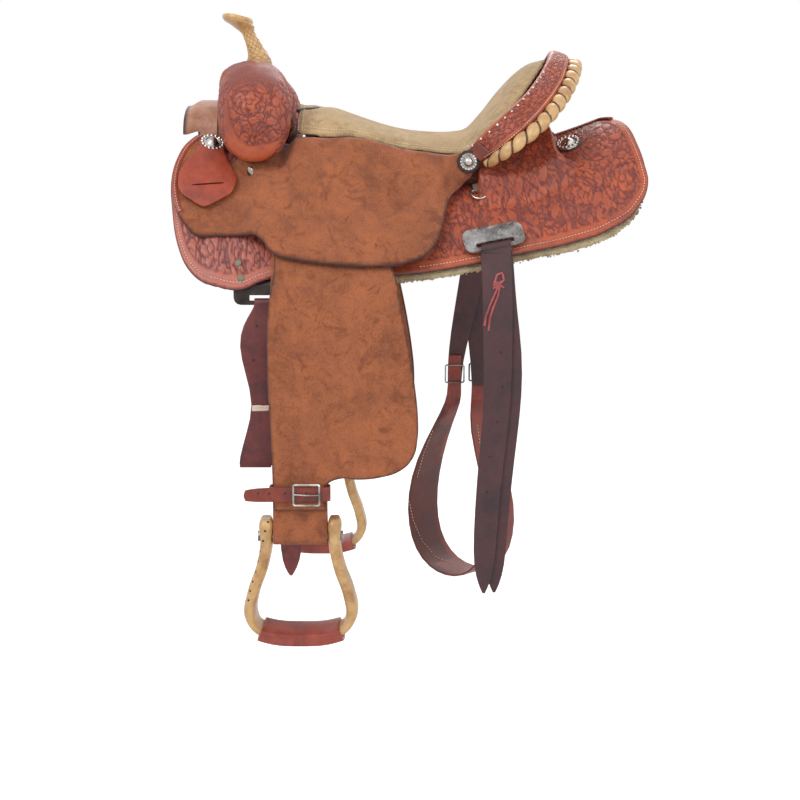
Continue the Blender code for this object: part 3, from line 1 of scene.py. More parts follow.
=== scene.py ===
"""A barrel racing saddle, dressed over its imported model."""

import json
import logging
import math
import time
from dataclasses import dataclass
from enum import Enum
from functools import cache
from typing import Callable, ClassVar, Optional, Sequence

import bmesh
import bpy
import numpy as np
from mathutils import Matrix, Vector
from mathutils.bvhtree import BVHTree

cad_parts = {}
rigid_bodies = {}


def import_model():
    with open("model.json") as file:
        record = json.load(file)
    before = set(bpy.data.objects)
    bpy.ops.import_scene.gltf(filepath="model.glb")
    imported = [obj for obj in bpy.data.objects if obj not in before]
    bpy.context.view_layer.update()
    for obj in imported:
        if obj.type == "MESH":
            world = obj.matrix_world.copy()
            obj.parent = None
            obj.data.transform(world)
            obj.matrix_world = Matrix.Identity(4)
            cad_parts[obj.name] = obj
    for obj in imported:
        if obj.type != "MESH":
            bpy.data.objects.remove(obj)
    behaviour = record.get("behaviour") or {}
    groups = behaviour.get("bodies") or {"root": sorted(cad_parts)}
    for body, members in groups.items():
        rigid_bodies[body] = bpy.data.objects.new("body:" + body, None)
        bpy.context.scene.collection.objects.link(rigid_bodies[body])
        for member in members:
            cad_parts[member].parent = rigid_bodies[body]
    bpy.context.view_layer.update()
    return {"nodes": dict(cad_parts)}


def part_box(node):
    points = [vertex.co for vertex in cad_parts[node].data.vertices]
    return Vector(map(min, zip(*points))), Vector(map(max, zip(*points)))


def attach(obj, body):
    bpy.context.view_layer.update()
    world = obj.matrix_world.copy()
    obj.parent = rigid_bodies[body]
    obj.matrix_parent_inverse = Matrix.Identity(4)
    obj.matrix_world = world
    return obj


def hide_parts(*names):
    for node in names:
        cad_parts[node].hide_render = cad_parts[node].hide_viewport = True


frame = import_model()
log = logging.getLogger("saddle")
SIDES = (("near", -1.0), ("off", 1.0))
Place = Callable[[np.ndarray, np.ndarray], np.ndarray]


# Colour and node graphs

def srgb(red: int, green: int, blue: int) -> tuple[float, float, float, float]:
    """Turn screen colour into the linear colour that shaders take."""
    parts = []
    for value in (red, green, blue):
        c = value / 255.0
        parts.append(c / 12.92 if c <= 0.04045 else ((c + 0.055) / 1.055) ** 2.4)
    return (*parts, 1.0)


class Graph:
    """A node tree that is filled node by node."""

    def __init__(self, tree: bpy.types.NodeTree):
        self.tree = tree

    def node(self, kind: str, inputs: Optional[dict] = None, **fields):
        """Add a node; inputs hold numbers, or sockets to link."""
        made = self.tree.nodes.new(kind)
        for key, value in fields.items():
            setattr(made, key, value)
        for key, value in (inputs or {}).items():
            if isinstance(value, bpy.types.NodeSocket):
                self.tree.links.new(value, made.inputs[key])
            else:
                made.inputs[key].default_value = value
        return made

    def noise(self, vector, scale: float, detail: float = 4.0, rough: float = 0.55,
              warp: float = 0.0):
        """Noise value at a scale in cycles per metre."""
        return self.node("ShaderNodeTexNoise", {
            "Vector": vector, "Scale": scale, "Detail": detail, "Roughness": rough,
            "Distortion": warp}).outputs["Fac"]

    def math(self, operation: str, a, b=0.0, clamp: bool = False):
        """One sum on two values."""
        return self.node("ShaderNodeMath", {0: a, 1: b}, operation=operation,
                         use_clamp=clamp).outputs[0]

    def span(self, value, low: float, high: float, start: float = 0.0,
             stop: float = 1.0):
        """Map a value from one range to another, smoothly and clamped."""
        return self.node("ShaderNodeMapRange", {
            "Value": value, "From Min": low, "From Max": high, "To Min": start,
            "To Max": stop}, interpolation_type="SMOOTHSTEP").outputs["Result"]

    def mix(self, factor, a, b):
        """Mix two colours."""
        return self.node("ShaderNodeMix", {0: factor, 6: a, 7: b},
                         data_type="RGBA").outputs[2]

    def scaled(self, vector, scale: tuple, turn: tuple = (0.0, 0.0, 0.0)):
        """Coordinates turned and stretched, for a grain with a direction."""
        return self.node("ShaderNodeMapping", {
            "Vector": vector, "Rotation": turn, "Scale": scale}).outputs["Vector"]

    def cells(self, vector, scale: float, feature: str = "F1", random: float = 1.0):
        """Distances of a cell pattern."""
        return self.node("ShaderNodeTexVoronoi", {
            "Vector": vector, "Scale": scale, "Randomness": random},
            feature=feature).outputs["Distance"]

    def shared(self, group: bpy.types.NodeTree, vector):
        """Outputs of a shared group at a vector."""
        made = self.node("ShaderNodeGroup", node_tree=group)
        self.tree.links.new(vector, made.inputs[0])
        return made.outputs

    def value_of(self, attribute: str):
        """A named value that the mesh carries."""
        return self.node("ShaderNodeAttribute", attribute_name=attribute).outputs["Fac"]

    def objects(self):
        """Object coordinates, in metres."""
        return self.node("ShaderNodeTexCoord").outputs["Object"]

    def bump(self, height, distance: float, strength: float = 1.0, normal=None):
        """A normal from a height, its depth in metres."""
        inputs = {"Height": height, "Distance": distance, "Strength": strength}
        if normal is not None:
            inputs["Normal"] = normal
        return self.node("ShaderNodeBump", inputs).outputs["Normal"]


def make_group(name: str, inputs: Sequence[tuple], outputs: Sequence[tuple],
               fill: Callable) -> bpy.types.NodeTree:
    """Build a shared node group.

    Args:
        name: the group's name.
        inputs: label, socket type and value of each input.
        outputs: label and socket type of each output.
        fill: takes the graph and the input sockets, and gives the outputs.

    Returns:
        The node group.
    """
    tree = bpy.data.node_groups.new(name, "ShaderNodeTree")
    for label, kind, value in inputs:
        made = tree.interface.new_socket(label, in_out="INPUT", socket_type=kind)
        if value is not None:
            made.default_value = value
    for label, kind in outputs:
        tree.interface.new_socket(label, in_out="OUTPUT", socket_type=kind)
    start = tree.nodes.new("NodeGroupInput")
    end = tree.nodes.new("NodeGroupOutput")
    found = fill(Graph(tree), start.outputs)
    for socket, value in zip(end.inputs, found):
        tree.links.new(value, socket)
    return tree


def fill_mottle(graph: Graph, given) -> tuple:
    """Broad blotches, small patches and a fine fleck."""
    broad = graph.noise(given["Vector"], 14.0, 5.0, 0.62, 0.6)
    patch = graph.noise(given["Vector"], 55.0, 4.0, 0.6, 0.3)
    fleck = graph.noise(given["Vector"], 420.0, 3.0, 0.7)
    return (graph.span(broad, 0.33, 0.67), graph.span(patch, 0.35, 0.65),
            graph.span(fleck, 0.3, 0.7))


def fill_grain(graph: Graph, given) -> tuple:
    """Pores and creases of smooth leather, and a mask of its creases."""
    cells = graph.cells(given["Vector"], 700.0, "DISTANCE_TO_EDGE")
    crease = graph.noise(given["Vector"], 160.0, 5.0, 0.65, 0.8)
    height = graph.math("ADD", graph.span(cells, 0.0, 0.25), crease)
    return height, graph.span(crease, 0.5, 0.72)


def fill_nap(graph: Graph, given) -> tuple:
    """Raised fibres of suede and roughout, brushed a little one way."""
    turned = graph.scaled(given["Vector"], (1.0, 1.0, 0.35), (0.3, 0.6, 0.5))
    fibre = graph.noise(turned, 1100.0, 3.0, 0.7)
    lump = graph.noise(given["Vector"], 260.0, 4.0, 0.6)
    return (graph.math("ADD", fibre, graph.math("MULTIPLY", lump, 1.4)),
            graph.span(fibre, 0.32, 0.68))


VECTOR_IN = [("Vector", "NodeSocketVector", None)]
VALUE = "NodeSocketFloat"
MOTTLE = make_group("mottle", VECTOR_IN, [("Broad", VALUE), ("Patch", VALUE),
                                          ("Fleck", VALUE)], fill_mottle)
GRAIN = make_group("leather_grain", VECTOR_IN, [("Height", VALUE), ("Crease", VALUE)],
                   fill_grain)
NAP = make_group("nap", VECTOR_IN, [("Height", VALUE), ("Fibre", VALUE)], fill_nap)


class Kind(Enum):
    """The ways in which a surface is worked."""

    SMOOTH = "smooth"
    TOOLED = "tooled"
    NAPPED = "napped"
    RAWHIDE = "rawhide"
    METAL = "metal"
    ENGRAVED = "engraved"
    FLEECE = "fleece"
    WOOD = "wood"
    THREAD = "thread"


@dataclass(frozen=True)
class Finish:
    """Colours and surface of one material."""

    name: str
    kind: Kind
    base: tuple
    dark: tuple
    light: tuple
    edge: tuple = (0.02, 0.012, 0.012, 1.0)
    roughness: float = 0.5
    depth: float = 0.0002
    coat: float = 0.0
    sheen: float = 0.0
    # Painted sheen: pale pink colours for light glancing off the leather.
    SHEEN_COLOURS: ClassVar[tuple] = (srgb(104, 54, 56), srgb(184, 104, 90))

    def build(self) -> bpy.types.Material:
        """Make the material, with its detail from nodes."""
        made = bpy.data.materials.new(self.name)
        made.use_nodes = True
        graph = Graph(made.node_tree)
        shader = made.node_tree.nodes["Principled BSDF"]
        for name, value in (("Coat Weight", self.coat), ("Coat Roughness", 0.25),
                            ("Sheen Weight", self.sheen), ("Sheen Roughness", 0.4)):
            shader.inputs[name].default_value = value
        if self.kind in (Kind.METAL, Kind.ENGRAVED):
            shader.inputs["Metallic"].default_value = 1.0
        spot = graph.objects()
        mottle = graph.shared(MOTTLE, spot)
        colour = graph.mix(mottle["Broad"], self.dark, self.base)
        patch = graph.math("MULTIPLY", mottle["Patch"], 0.45)
        colour = graph.mix(patch, colour, self.light)
        rough = graph.span(mottle["Patch"], 0.0, 1.0, self.roughness * 0.85,
                           min(1.0, self.roughness * 1.15))
        work = getattr(self, "_" + self.kind.value)
        colour, rough, normal = work(graph, spot, colour, rough)
        if self.kind in (Kind.SMOOTH, Kind.TOOLED, Kind.NAPPED, Kind.RAWHIDE):
            colour = graph.mix(graph.value_of("edge"), colour, self.edge)
        for name, value in (("Base Color", colour), ("Roughness", rough),
                            ("Normal", normal)):
            graph.tree.links.new(value, shader.inputs[name])
        made.diffuse_color = self.base
        return made

    def _darken(self, graph: Graph, colour, value, span: tuple):
        """Colour with the dark one laid over it, where a value's span says."""
        return graph.mix(graph.span(value, *span), colour, self.dark)

    def _smooth(self, graph: Graph, spot, colour, rough) -> tuple:
        """Fine grain, darker in its creases."""
        grain = graph.shared(GRAIN, spot)
        wear = graph.math("MULTIPLY", grain["Crease"], 0.35)
        colour = graph.mix(wear, colour, self.dark)
        return colour, rough, graph.bump(grain["Height"], self.depth, 0.6)

    def _tooled(self, graph: Graph, spot, colour, rough) -> tuple:
        """Raised leaves over a stamped, stained ground, with a painted sheen where asked.
        """
        grain = graph.shared(GRAIN, spot)
        raised = graph.value_of("tool")
        stamp = graph.cells(spot, 520.0)
        ground = graph.mix(graph.span(stamp, 0.1, 0.6), self.edge, self.dark)
        colour = graph.mix(graph.math("MULTIPLY", grain["Crease"], 0.3), colour, self.dark)
        worn = graph.math("MULTIPLY", graph.shared(MOTTLE, spot)["Fleck"], 0.25)
        colour = graph.mix(worn, colour, self.light)
        colour = graph.mix(raised, ground, colour)
        # Painted sheen: the leather turns pale pink where the mesh's sheen value says.
        sheen_colour = graph.mix(raised, *self.SHEEN_COLOURS)
        colour = graph.mix(graph.value_of("painted_sheen"), colour, sheen_colour)
        flat = graph.math("SUBTRACT", 1.0, raised)
        dots = graph.math("MULTIPLY", graph.span(stamp, 0.0, 0.6), flat)
        first = graph.bump(dots, 0.0006, 0.9)
        rough = graph.math("ADD", rough, graph.math("MULTIPLY", flat, 0.25))
        return colour, rough, graph.bump(grain["Height"], self.depth, 0.5, first)

    def _napped(self, graph: Graph, spot, colour, rough) -> tuple:
        """Brushed fibres with scuffs and specks."""
        nap = graph.shared(NAP, spot)
        fibre = graph.math("MULTIPLY", nap["Fibre"], 0.45)
        colour = graph.mix(fibre, colour, self.light)
        scuff = graph.noise(spot, 34.0, 7.0, 0.72, 1.2)
        colour = self._darken(graph, colour, scuff, (0.48, 0.66, 0.0, 0.7))
        speck = graph.noise(spot, 330.0, 3.0, 0.75)
        colour = self._darken(graph, colour, speck, (0.5, 0.62, 0.0, 0.35))
        return colour, rough, graph.bump(nap["Height"], self.depth, 0.9)

    def _rawhide(self, graph: Graph, spot, colour, rough) -> tuple:
        """Translucent hide, varnished, with painted shade in braid and lace grooves."""
        vein = graph.noise(graph.scaled(spot, (1.0, 1.0, 3.0)), 90.0, 6.0, 0.7, 1.5)
        colour = self._darken(graph, colour, vein, (0.52, 0.75, 0.0, 0.6))
        # Painted shade: dark where the braid's strands or the lace's wraps dip.
        crease = graph.span(graph.value_of("tool"), 0.0, 0.5)
        colour = graph.mix(crease, self.edge, colour)
        height = graph.noise(spot, 240.0, 4.0, 0.6)
        return colour, rough, graph.bump(height, self.depth, 0.6)

    def _metal(self, graph: Graph, spot, colour, rough) -> tuple:
        """Fine brushing under a little tarnish."""
        lines = graph.noise(graph.scaled(spot, (8.0, 1.0, 1.0)), 300.0, 3.0, 0.6)
        tarnish = graph.noise(spot, 120.0, 5.0, 0.65)
        colour = self._darken(graph, colour, tarnish, (0.5, 0.75, 0.0, 0.5))
        return colour, rough, graph.bump(lines, self.depth, 0.3)

    def _engraved(self, graph: Graph, spot, colour, rough) -> tuple:
        """Cut scrolls with blackened lines."""
        warp = graph.noise(spot, 70.0, 2.0, 0.5)
        bent = graph.node("ShaderNodeVectorMath", {0: spot, 1: warp},
                          operation="ADD").outputs[0]
        cells = graph.cells(spot, 150.0, "SMOOTH_F1", 0.8)
        rings = graph.node("ShaderNodeMath", {0: graph.math("MULTIPLY", cells, 34.0)},
                           operation="SINE").outputs[0]
        fine = graph.noise(bent, 480.0, 2.0, 0.5)
        cut = graph.math("ADD", graph.span(rings, -0.2, 0.5), graph.span(fine, 0.35, 0.5))
        colour = self._darken(graph, colour, cut, (0.0, 0.9, 0.75, 0.0))
        return colour, rough, graph.bump(cut, self.depth, 0.9)

    def _fleece(self, graph: Graph, spot, colour, rough) -> tuple:
        """Curls, with painted shade in the hollows between them."""
        curls = graph.noise(spot, 260.0, 5.0, 0.7, 2.0)
        colour = self._darken(graph, colour, curls, (0.35, 0.55, 0.55, 0.0))
        return colour, rough, graph.bump(curls, self.depth, 1.0)

    def _wood(self, graph: Graph, spot, colour, rough) -> tuple:
        """Long lines of grain."""
        line = graph.noise(graph.scaled(spot, (0.12, 1.0, 1.0)), 260.0, 6.0, 0.7, 0.6)
        colour = self._darken(graph, colour, line, (0.4, 0.62, 0.0, 0.8))
        return colour, rough, graph.bump(line, self.depth, 0.5)

    def _thread(self, graph: Graph, spot, colour, rough) -> tuple:
        """Strands twisted together."""
        twist = graph.noise(spot, 1800.0, 2.0, 0.5)
        colour = self._darken(graph, colour, twist, (0.35, 0.55, 0.5, 0.0))
        return colour, rough, graph.bump(twist, self.depth, 0.8)


TOOLED = Finish("tooled_leather", Kind.TOOLED, srgb(180, 78, 42), srgb(128, 56, 46),
                srgb(200, 98, 54), srgb(70, 34, 40), 0.42, 0.00012, 0.12)
RED = Finish("smooth_leather", Kind.SMOOTH, srgb(168, 62, 34), srgb(128, 44, 30),
             srgb(186, 82, 48), srgb(66, 34, 34), 0.4, 0.00012, 0.15)
ROUGHOUT = Finish("roughout_leather", Kind.NAPPED, srgb(158, 88, 54),
                  srgb(118, 62, 38), srgb(186, 114, 76), srgb(58, 38, 38), 0.95,
                  0.0004, 0.0, 0.15)
SUEDE = Finish("seat_suede", Kind.NAPPED, srgb(188, 156, 112), srgb(150, 120, 82),
               srgb(208, 180, 138), srgb(104, 80, 56), 0.97, 0.0004, 0.0, 0.25)
RAWHIDE = Finish("rawhide", Kind.RAWHIDE, srgb(206, 162, 104), srgb(166, 116, 66),
                 srgb(228, 194, 140), srgb(88, 50, 30), 0.34, 0.0002, 0.3)
LINER = Finish("liner_leather", Kind.SMOOTH, srgb(190, 134, 104), srgb(160, 100, 76),
               srgb(214, 166, 134), srgb(52, 28, 26), 0.36, 0.00015, 0.25)
BURGUNDY = Finish("burgundy_leather", Kind.SMOOTH, srgb(104, 36, 36), srgb(66, 24, 28),
                  srgb(136, 54, 48), srgb(44, 20, 24), 0.42, 0.0002, 0.12)
DARK = Finish("dark_leather", Kind.SMOOTH, srgb(72, 40, 44), srgb(52, 30, 36),
              srgb(92, 54, 56), srgb(36, 22, 26), 0.55, 0.0003, 0.03)
FLEECE = Finish("fleece", Kind.FLEECE, srgb(208, 186, 144), srgb(150, 124, 90),
                srgb(228, 210, 174), roughness=1.0, depth=0.003, sheen=0.4)
SILVER = Finish("silver", Kind.METAL, srgb(222, 220, 214), srgb(120, 112, 102),
                srgb(240, 240, 238), roughness=0.22, depth=0.00004)
ENGRAVED = Finish("engraved_silver", Kind.ENGRAVED, srgb(214, 212, 210),
                  srgb(92, 86, 84), srgb(236, 236, 236), roughness=0.3, depth=0.0004)
STEEL = Finish("steel", Kind.METAL, srgb(168, 166, 164), srgb(92, 88, 84),
               srgb(200, 198, 194), roughness=0.32, depth=0.00006)
VERDIGRIS = Finish("verdigris", Kind.SMOOTH, srgb(124, 124, 100), srgb(96, 92, 74),
                   srgb(150, 150, 126), roughness=0.6)
IRON = Finish("dark_steel", Kind.METAL, srgb(70, 62, 60), srgb(44, 38, 38),
              srgb(92, 84, 80), roughness=0.5, depth=0.00006)
WOOD = Finish("tree_wood", Kind.WOOD, srgb(112, 62, 42), srgb(76, 40, 30),
              srgb(134, 80, 54), roughness=0.7, depth=0.0003)
CREAM = Finish("cream_thread", Kind.THREAD, srgb(236, 216, 178), srgb(196, 168, 122),
               srgb(248, 236, 212), roughness=0.7, depth=0.0002)
WHITE = Finish("white_thread", Kind.THREAD, srgb(244, 226, 208), srgb(206, 170, 146),
               srgb(252, 246, 238), roughness=0.65, depth=0.0002)
LACE = Finish("pink_lace", Kind.SMOOTH, srgb(170, 76, 76), srgb(130, 52, 56),
              srgb(200, 108, 104), roughness=0.5)
# Black for the seat's front rim, and as painted shade inside punched holes.
BLACK = Finish("black_rim_and_hole_shade", Kind.SMOOTH, srgb(36, 30, 32), srgb(24, 20, 22),
               srgb(52, 44, 46), roughness=0.5)
GREY = Finish("grey_tab", Kind.SMOOTH, srgb(118, 104, 92), srgb(88, 76, 68),
              srgb(146, 130, 116), srgb(60, 50, 46), 0.6)
HOBBLE = Finish("hobble_leather", Kind.SMOOTH, srgb(138, 52, 36), srgb(100, 36, 30),
                srgb(160, 70, 48), srgb(60, 28, 28), 0.42, 0.0002, 0.12)
TREAD = Finish("tread_leather", Kind.SMOOTH, srgb(150, 56, 42), srgb(104, 38, 34),
               srgb(176, 84, 62), srgb(60, 28, 28), 0.34, 0.0002, 0.25)


@cache
def material(finish: Finish) -> bpy.types.Material:
    """The one material of a finish."""
    return finish.build()


# Pieces

def finish_piece(obj: bpy.types.Object, finish: Finish, body: str,
                 replaced: Sequence[str] = ()) -> bpy.types.Object:
    """Give a piece its material, its body and the nodes that it stands for."""
    obj.data.materials.clear()
    obj.data.materials.append(material(finish))
    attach(obj, body)
    if replaced:
        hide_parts(*replaced)
    log.info("%s rides on %s in %s", obj.name, body, finish.name)
    return obj


def link(name: str, mesh: bpy.types.Mesh, smooth: Optional[float]):
    """Add a mesh to the scene as an object at the origin, sharp past an angle."""
    obj = bpy.data.objects.new(name, mesh)
    bpy.context.scene.collection.objects.link(obj)
    mesh.shade_smooth()
    if smooth is not None:
        mesh.set_sharp_from_angle(angle=math.radians(smooth))
    return obj


def as_piece(name: str, bm: bmesh.types.BMesh, smooth: Optional[float] = None):
    """Turn a bmesh into a piece, its faces as they are."""
    mesh = bpy.data.meshes.new(name)
    bm.to_mesh(mesh)
    bm.free()
    return link(name, mesh, smooth)


def from_bmesh(name: str, bm: bmesh.types.BMesh, smooth: Optional[float]):
    """Turn a bmesh into a piece, its normals outwards."""
    bmesh.ops.recalc_face_normals(bm, faces=bm.faces[:])
    return as_piece(name, bm, smooth)


def coordinates(bm: bmesh.types.BMesh) -> np.ndarray:
    """The vertices' places as an array."""
    return np.array([v.co[:] for v in bm.verts], dtype=float)


def normals_of(bm: bmesh.types.BMesh) -> np.ndarray:
    """The vertices' normals as an array."""
    bm.normal_update()
    return np.array([v.normal[:] for v in bm.verts], dtype=float)


def outward(bm: bmesh.types.BMesh,
            middle: Optional[np.ndarray] = None) -> tuple[np.ndarray, np.ndarray]:
    """Turn the faces away from the middle: the vertices' places and normals."""
    spots, normals = coordinates(bm), normals_of(bm)
    if (normals * (spots - (spots.mean(0) if middle is None else middle))).sum() < 0:
        bmesh.ops.reverse_faces(bm, faces=bm.faces[:])
        normals = -normals
    return spots, normals


def spots_of(obj: bpy.types.Object) -> np.ndarray:
    """Places of a mesh object's vertices."""
    return np.array([v.co[:] for v in obj.data.vertices])


def move_to(bm: bmesh.types.BMesh, spots: np.ndarray) -> None:
    """Put every vertex at its new place."""
    for vert, spot in zip(bm.verts, spots):
        vert.co = spot


def carry(bm: bmesh.types.BMesh, name: str, values: np.ndarray) -> None:
    """Store a value at each vertex, for the material to read."""
    layer = bm.verts.layers.float.get(name) or bm.verts.layers.float.new(name)
    for vert, value in zip(bm.verts, values):
        vert[layer] = float(value)


def carry_whole(obj: bpy.types.Object, name: str, value) -> None:
    """Store a value, or one value for each vertex, on a finished piece."""
    layer = obj.data.attributes.new(name, "FLOAT", "POINT")
    values = np.broadcast_to(value, len(obj.data.vertices))
    layer.data.foreach_set("value", values.astype(np.float32))


def thicken(obj: bpy.types.Object, thickness: float, group: str = "") -> None:
    """Give a face a wall, inwards, thinner where the vertex group says so."""
    wall = obj.modifiers.new("thickness", "SOLIDIFY")
    wall.thickness = thickness
    wall.offset = -1.0
    wall.use_even_offset = False
    wall.vertex_group = group


def subdivide(obj: bpy.types.Object, levels: int = 1) -> None:
    """Smooth a piece by dividing its faces."""
    soft = obj.modifiers.new("soft", "SUBSURF")
    soft.levels = soft.render_levels = levels


def welded(name: str, bm: bmesh.types.BMesh, gap: float,
           smooth: Optional[float] = None) -> bpy.types.Object:
    """Close a bmesh's seam, where vertices lie within a gap, and make it a piece."""
    bmesh.ops.remove_doubles(bm, verts=bm.verts[:], dist=gap)
    return from_bmesh(name, bm, smooth)


def smoothstep(t):
    """Ease from 0 to 1."""
    t = np.clip(t, 0.0, 1.0)
    return t * t * (3.0 - 2.0 * t)


def power_of(wave: np.ndarray, power: float) -> np.ndarray:
    """A sine or cosine squared off or pinched, its sign kept."""
    return np.sign(wave) * np.abs(wave) ** power


def bell(t):
    """1 at nought, falling away on both sides."""
    return np.exp(-t ** 2)


def unit(vectors: np.ndarray) -> np.ndarray:
    """Vectors brought to length 1."""
    return vectors / (np.linalg.norm(vectors, axis=-1)[..., None] + 1e-12)


def capped(u: np.ndarray, cap: float) -> tuple[np.ndarray, np.ndarray]:
    """Share of the way between two end caps, and how far each place is into one."""
    past = np.maximum(0.0, np.maximum(cap - u, u - 1.0 + cap)) / cap
    return np.clip((u - cap) / (1.0 - 2.0 * cap), 0.0, 1.0), past


def along_line(table: np.ndarray, at: np.ndarray, knots=None) -> np.ndarray:
    """Rows of a table at places between its rows, or between knots."""
    knots = np.arange(len(table)) if knots is None else knots
    return np.stack([np.interp(at, knots, column) for column in table.T], 1)


def lengths(points: np.ndarray) -> np.ndarray:
    """Distance of each point from the first, along the line."""
    steps = np.linalg.norm(np.diff(points, axis=0), axis=1)
    return np.concatenate(([0.0], np.cumsum(steps)))


def smooth_line(points, count: int) -> np.ndarray:
    """Resample a line of any dimension along a smooth curve."""
    array = np.array([tuple(p) for p in points], dtype=float)
    knots = lengths(array[:, :3])
    tangents = np.gradient(array, knots, axis=0)
    s = np.linspace(0.0, knots[-1], count)
    i = np.clip(np.searchsorted(knots, s, side="right") - 1, 0, len(knots) - 2)
    span = (knots[i + 1] - knots[i])[:, None]
    t = (s - knots[i])[:, None] / span
    return ((2 * t ** 3 - 3 * t ** 2 + 1) * array[i]
            + (t ** 3 - 2 * t ** 2 + t) * span * tangents[i]
            + (3 * t ** 2 - 2 * t ** 3) * array[i + 1]
            + (t ** 3 - t ** 2) * span * tangents[i + 1])


def grid(cells: tuple[int, int], place: Place) -> tuple[bmesh.types.BMesh, np.ndarray]:
    """A grid laid by place(u, v), with u and v from 0 to 1.

    Returns:
        The bmesh, and the u and v of its vertices.
    """
    bm = bmesh.new()
    bmesh.ops.create_grid(bm, x_segments=cells[0], y_segments=cells[1], size=0.5)
    uv = coordinates(bm)[:, :2] + 0.5
    move_to(bm, place(uv[:, 0], uv[:, 1]))
    return bm, uv


def outline(points: Sequence[tuple]) -> np.ndarray:
    """A smooth closed outline through points; a third item marks a corner."""
    curve = bpy.data.curves.new("outline", "CURVE")
    curve.dimensions = "2D"
    curve.fill_mode = "NONE"
    curve.resolution_u = 10
    spline = curve.splines.new("BEZIER")
    spline.bezier_points.add(len(points) - 1)
    for knot, point in zip(spline.bezier_points, points):
        knot.co = (point[0], point[1], 0.0)
        kind = "VECTOR" if len(point) > 2 else "AUTO"
        knot.handle_left_type = knot.handle_right_type = kind
    spline.use_cyclic_u = True
    obj = bpy.data.objects.new("outline", curve)
    bpy.context.scene.collection.objects.link(obj)
    mesh = obj.to_mesh()
    found = np.array([v.co[:2] for v in mesh.vertices])
    obj.to_mesh_clear()
    bpy.data.objects.remove(obj, do_unlink=True)
    return found[np.linalg.norm(found - np.roll(found, 1, 0), axis=1) > 0.0004]


def depth_in(points: np.ndarray, loop: np.ndarray) -> tuple[np.ndarray, np.ndarray]:
    """Depth inside a closed outline, and the nearest point of the outline."""
    a, b = loop, np.roll(loop, -1, 0)
    d = b - a
    best = np.full(len(points), 1e9)
    near = np.zeros((len(points), 2))
    inside = np.zeros(len(points), bool)
    x, y = points[:, 0], points[:, 1]
    for p, q, step in zip(a, b, d):
        t = np.clip(((x - p[0]) * step[0] + (y - p[1]) * step[1]) / step.dot(step), 0, 1)
        fx, fy = p[0] + t * step[0], p[1] + t * step[1]
        gap = (x - fx) ** 2 + (y - fy) ** 2
        closer = gap < best
        best[closer] = gap[closer]
        near[closer, 0], near[closer, 1] = fx[closer], fy[closer]
        if p[1] != q[1]:
            crosses = ((p[1] > y) != (q[1] > y)) & (
                x < p[0] + (y - p[1]) * step[0] / step[1])
            inside ^= crosses
    return np.where(inside, np.sqrt(best), -np.sqrt(best)), near


def cut_panel(loop: np.ndarray, cell: float) -> tuple[bmesh.types.BMesh, np.ndarray,
                                                    np.ndarray]:
    """A flat grid of small cells whose rim follows an outline.

    Returns:
        The bmesh, its flat coordinates and each vertex's depth inside the rim.
    """
    low, high = loop.min(0) - cell, loop.max(0) + cell
    count = np.ceil((high - low) / cell).astype(int)
    bm = bmesh.new()
    bmesh.ops.create_grid(bm, x_segments=int(count[0]), y_segments=int(count[1]),
                          size=0.5)
    flat = (coordinates(bm)[:, :2] + 0.5) * count * cell + low
    depth, near = depth_in(flat, loop)
    bm.verts.ensure_lookup_table()
    outside = [v for v, d in zip(bm.verts, depth) if d < -0.5 * cell]
    for index, vert in enumerate(bm.verts):
        vert.co = (*flat[index], 0.0)
    bmesh.ops.delete(bm, geom=outside, context="VERTS")
    loose = [v for v in bm.verts if len(v.link_faces) == 0]
    bmesh.ops.delete(bm, geom=loose, context="VERTS")
    flat = coordinates(bm)[:, :2]
    depth, near = depth_in(flat, loop)
    for index, vert in enumerate(bm.verts):
        if vert.is_boundary or depth[index] < 0.0:
            flat[index] = near[index]
            depth[index] = 0.0
    return bm, flat, depth


def panel(name: str, shape: tuple, place: Place, relief: np.ndarray,
          thickness: float) -> bpy.types.Object:
    """Lay a cut panel on its surface, move it by its relief and give it a wall.

    Args:
        name: the piece's name.
        shape: what cut_panel gave, with its named values stored.
        place: gives the outer face from the flat coordinates.
        relief: height over the outer face at each vertex.
        thickness: the wall, inwards.
    """
    bm, flat, _ = shape
    move_to(bm, place(flat[:, 0], flat[:, 1]))
    bmesh.ops.recalc_face_normals(bm, faces=bm.faces[:])
    below = coordinates(bm)
    below -= [0.0, 0.8 * np.sign(below[:, 1].mean()), 0.6]
    spots, normals = outward(bm, below)
    move_to(bm, spots + normals * relief[:, None])
    obj = as_piece(name, bm)
    thicken(obj, thickness)
    return obj


def rounding(depth: np.ndarray, radius: float) -> np.ndarray:
    """How far a rounded edge falls, by depth from the rim."""
    t = np.clip(1.0 - depth / radius, 0.0, 1.0)
    return -radius * 0.6 * (1.0 - np.sqrt(np.clip(1.0 - t * t, 0.0, 1.0)))


def tree_of(obj: bpy.types.Object) -> BVHTree:
    """A search tree of a piece as it shows."""
    graph = bpy.context.evaluated_depsgraph_get()
    bpy.context.view_layer.update()
    shown = obj.evaluated_get(graph)
    found = tree_from(shown.to_mesh())
    shown.to_mesh_clear()
    return found


def tree_from(mesh: bpy.types.Mesh, side: float = 1.0) -> BVHTree:
    """A search tree of a mesh, or with side -1 of its mirror image."""
    spots = [(v.co.x, side * v.co.y, v.co.z) for v in mesh.vertices]
    return BVHTree.FromPolygons(spots, [p.vertices[:] for p in mesh.polygons])


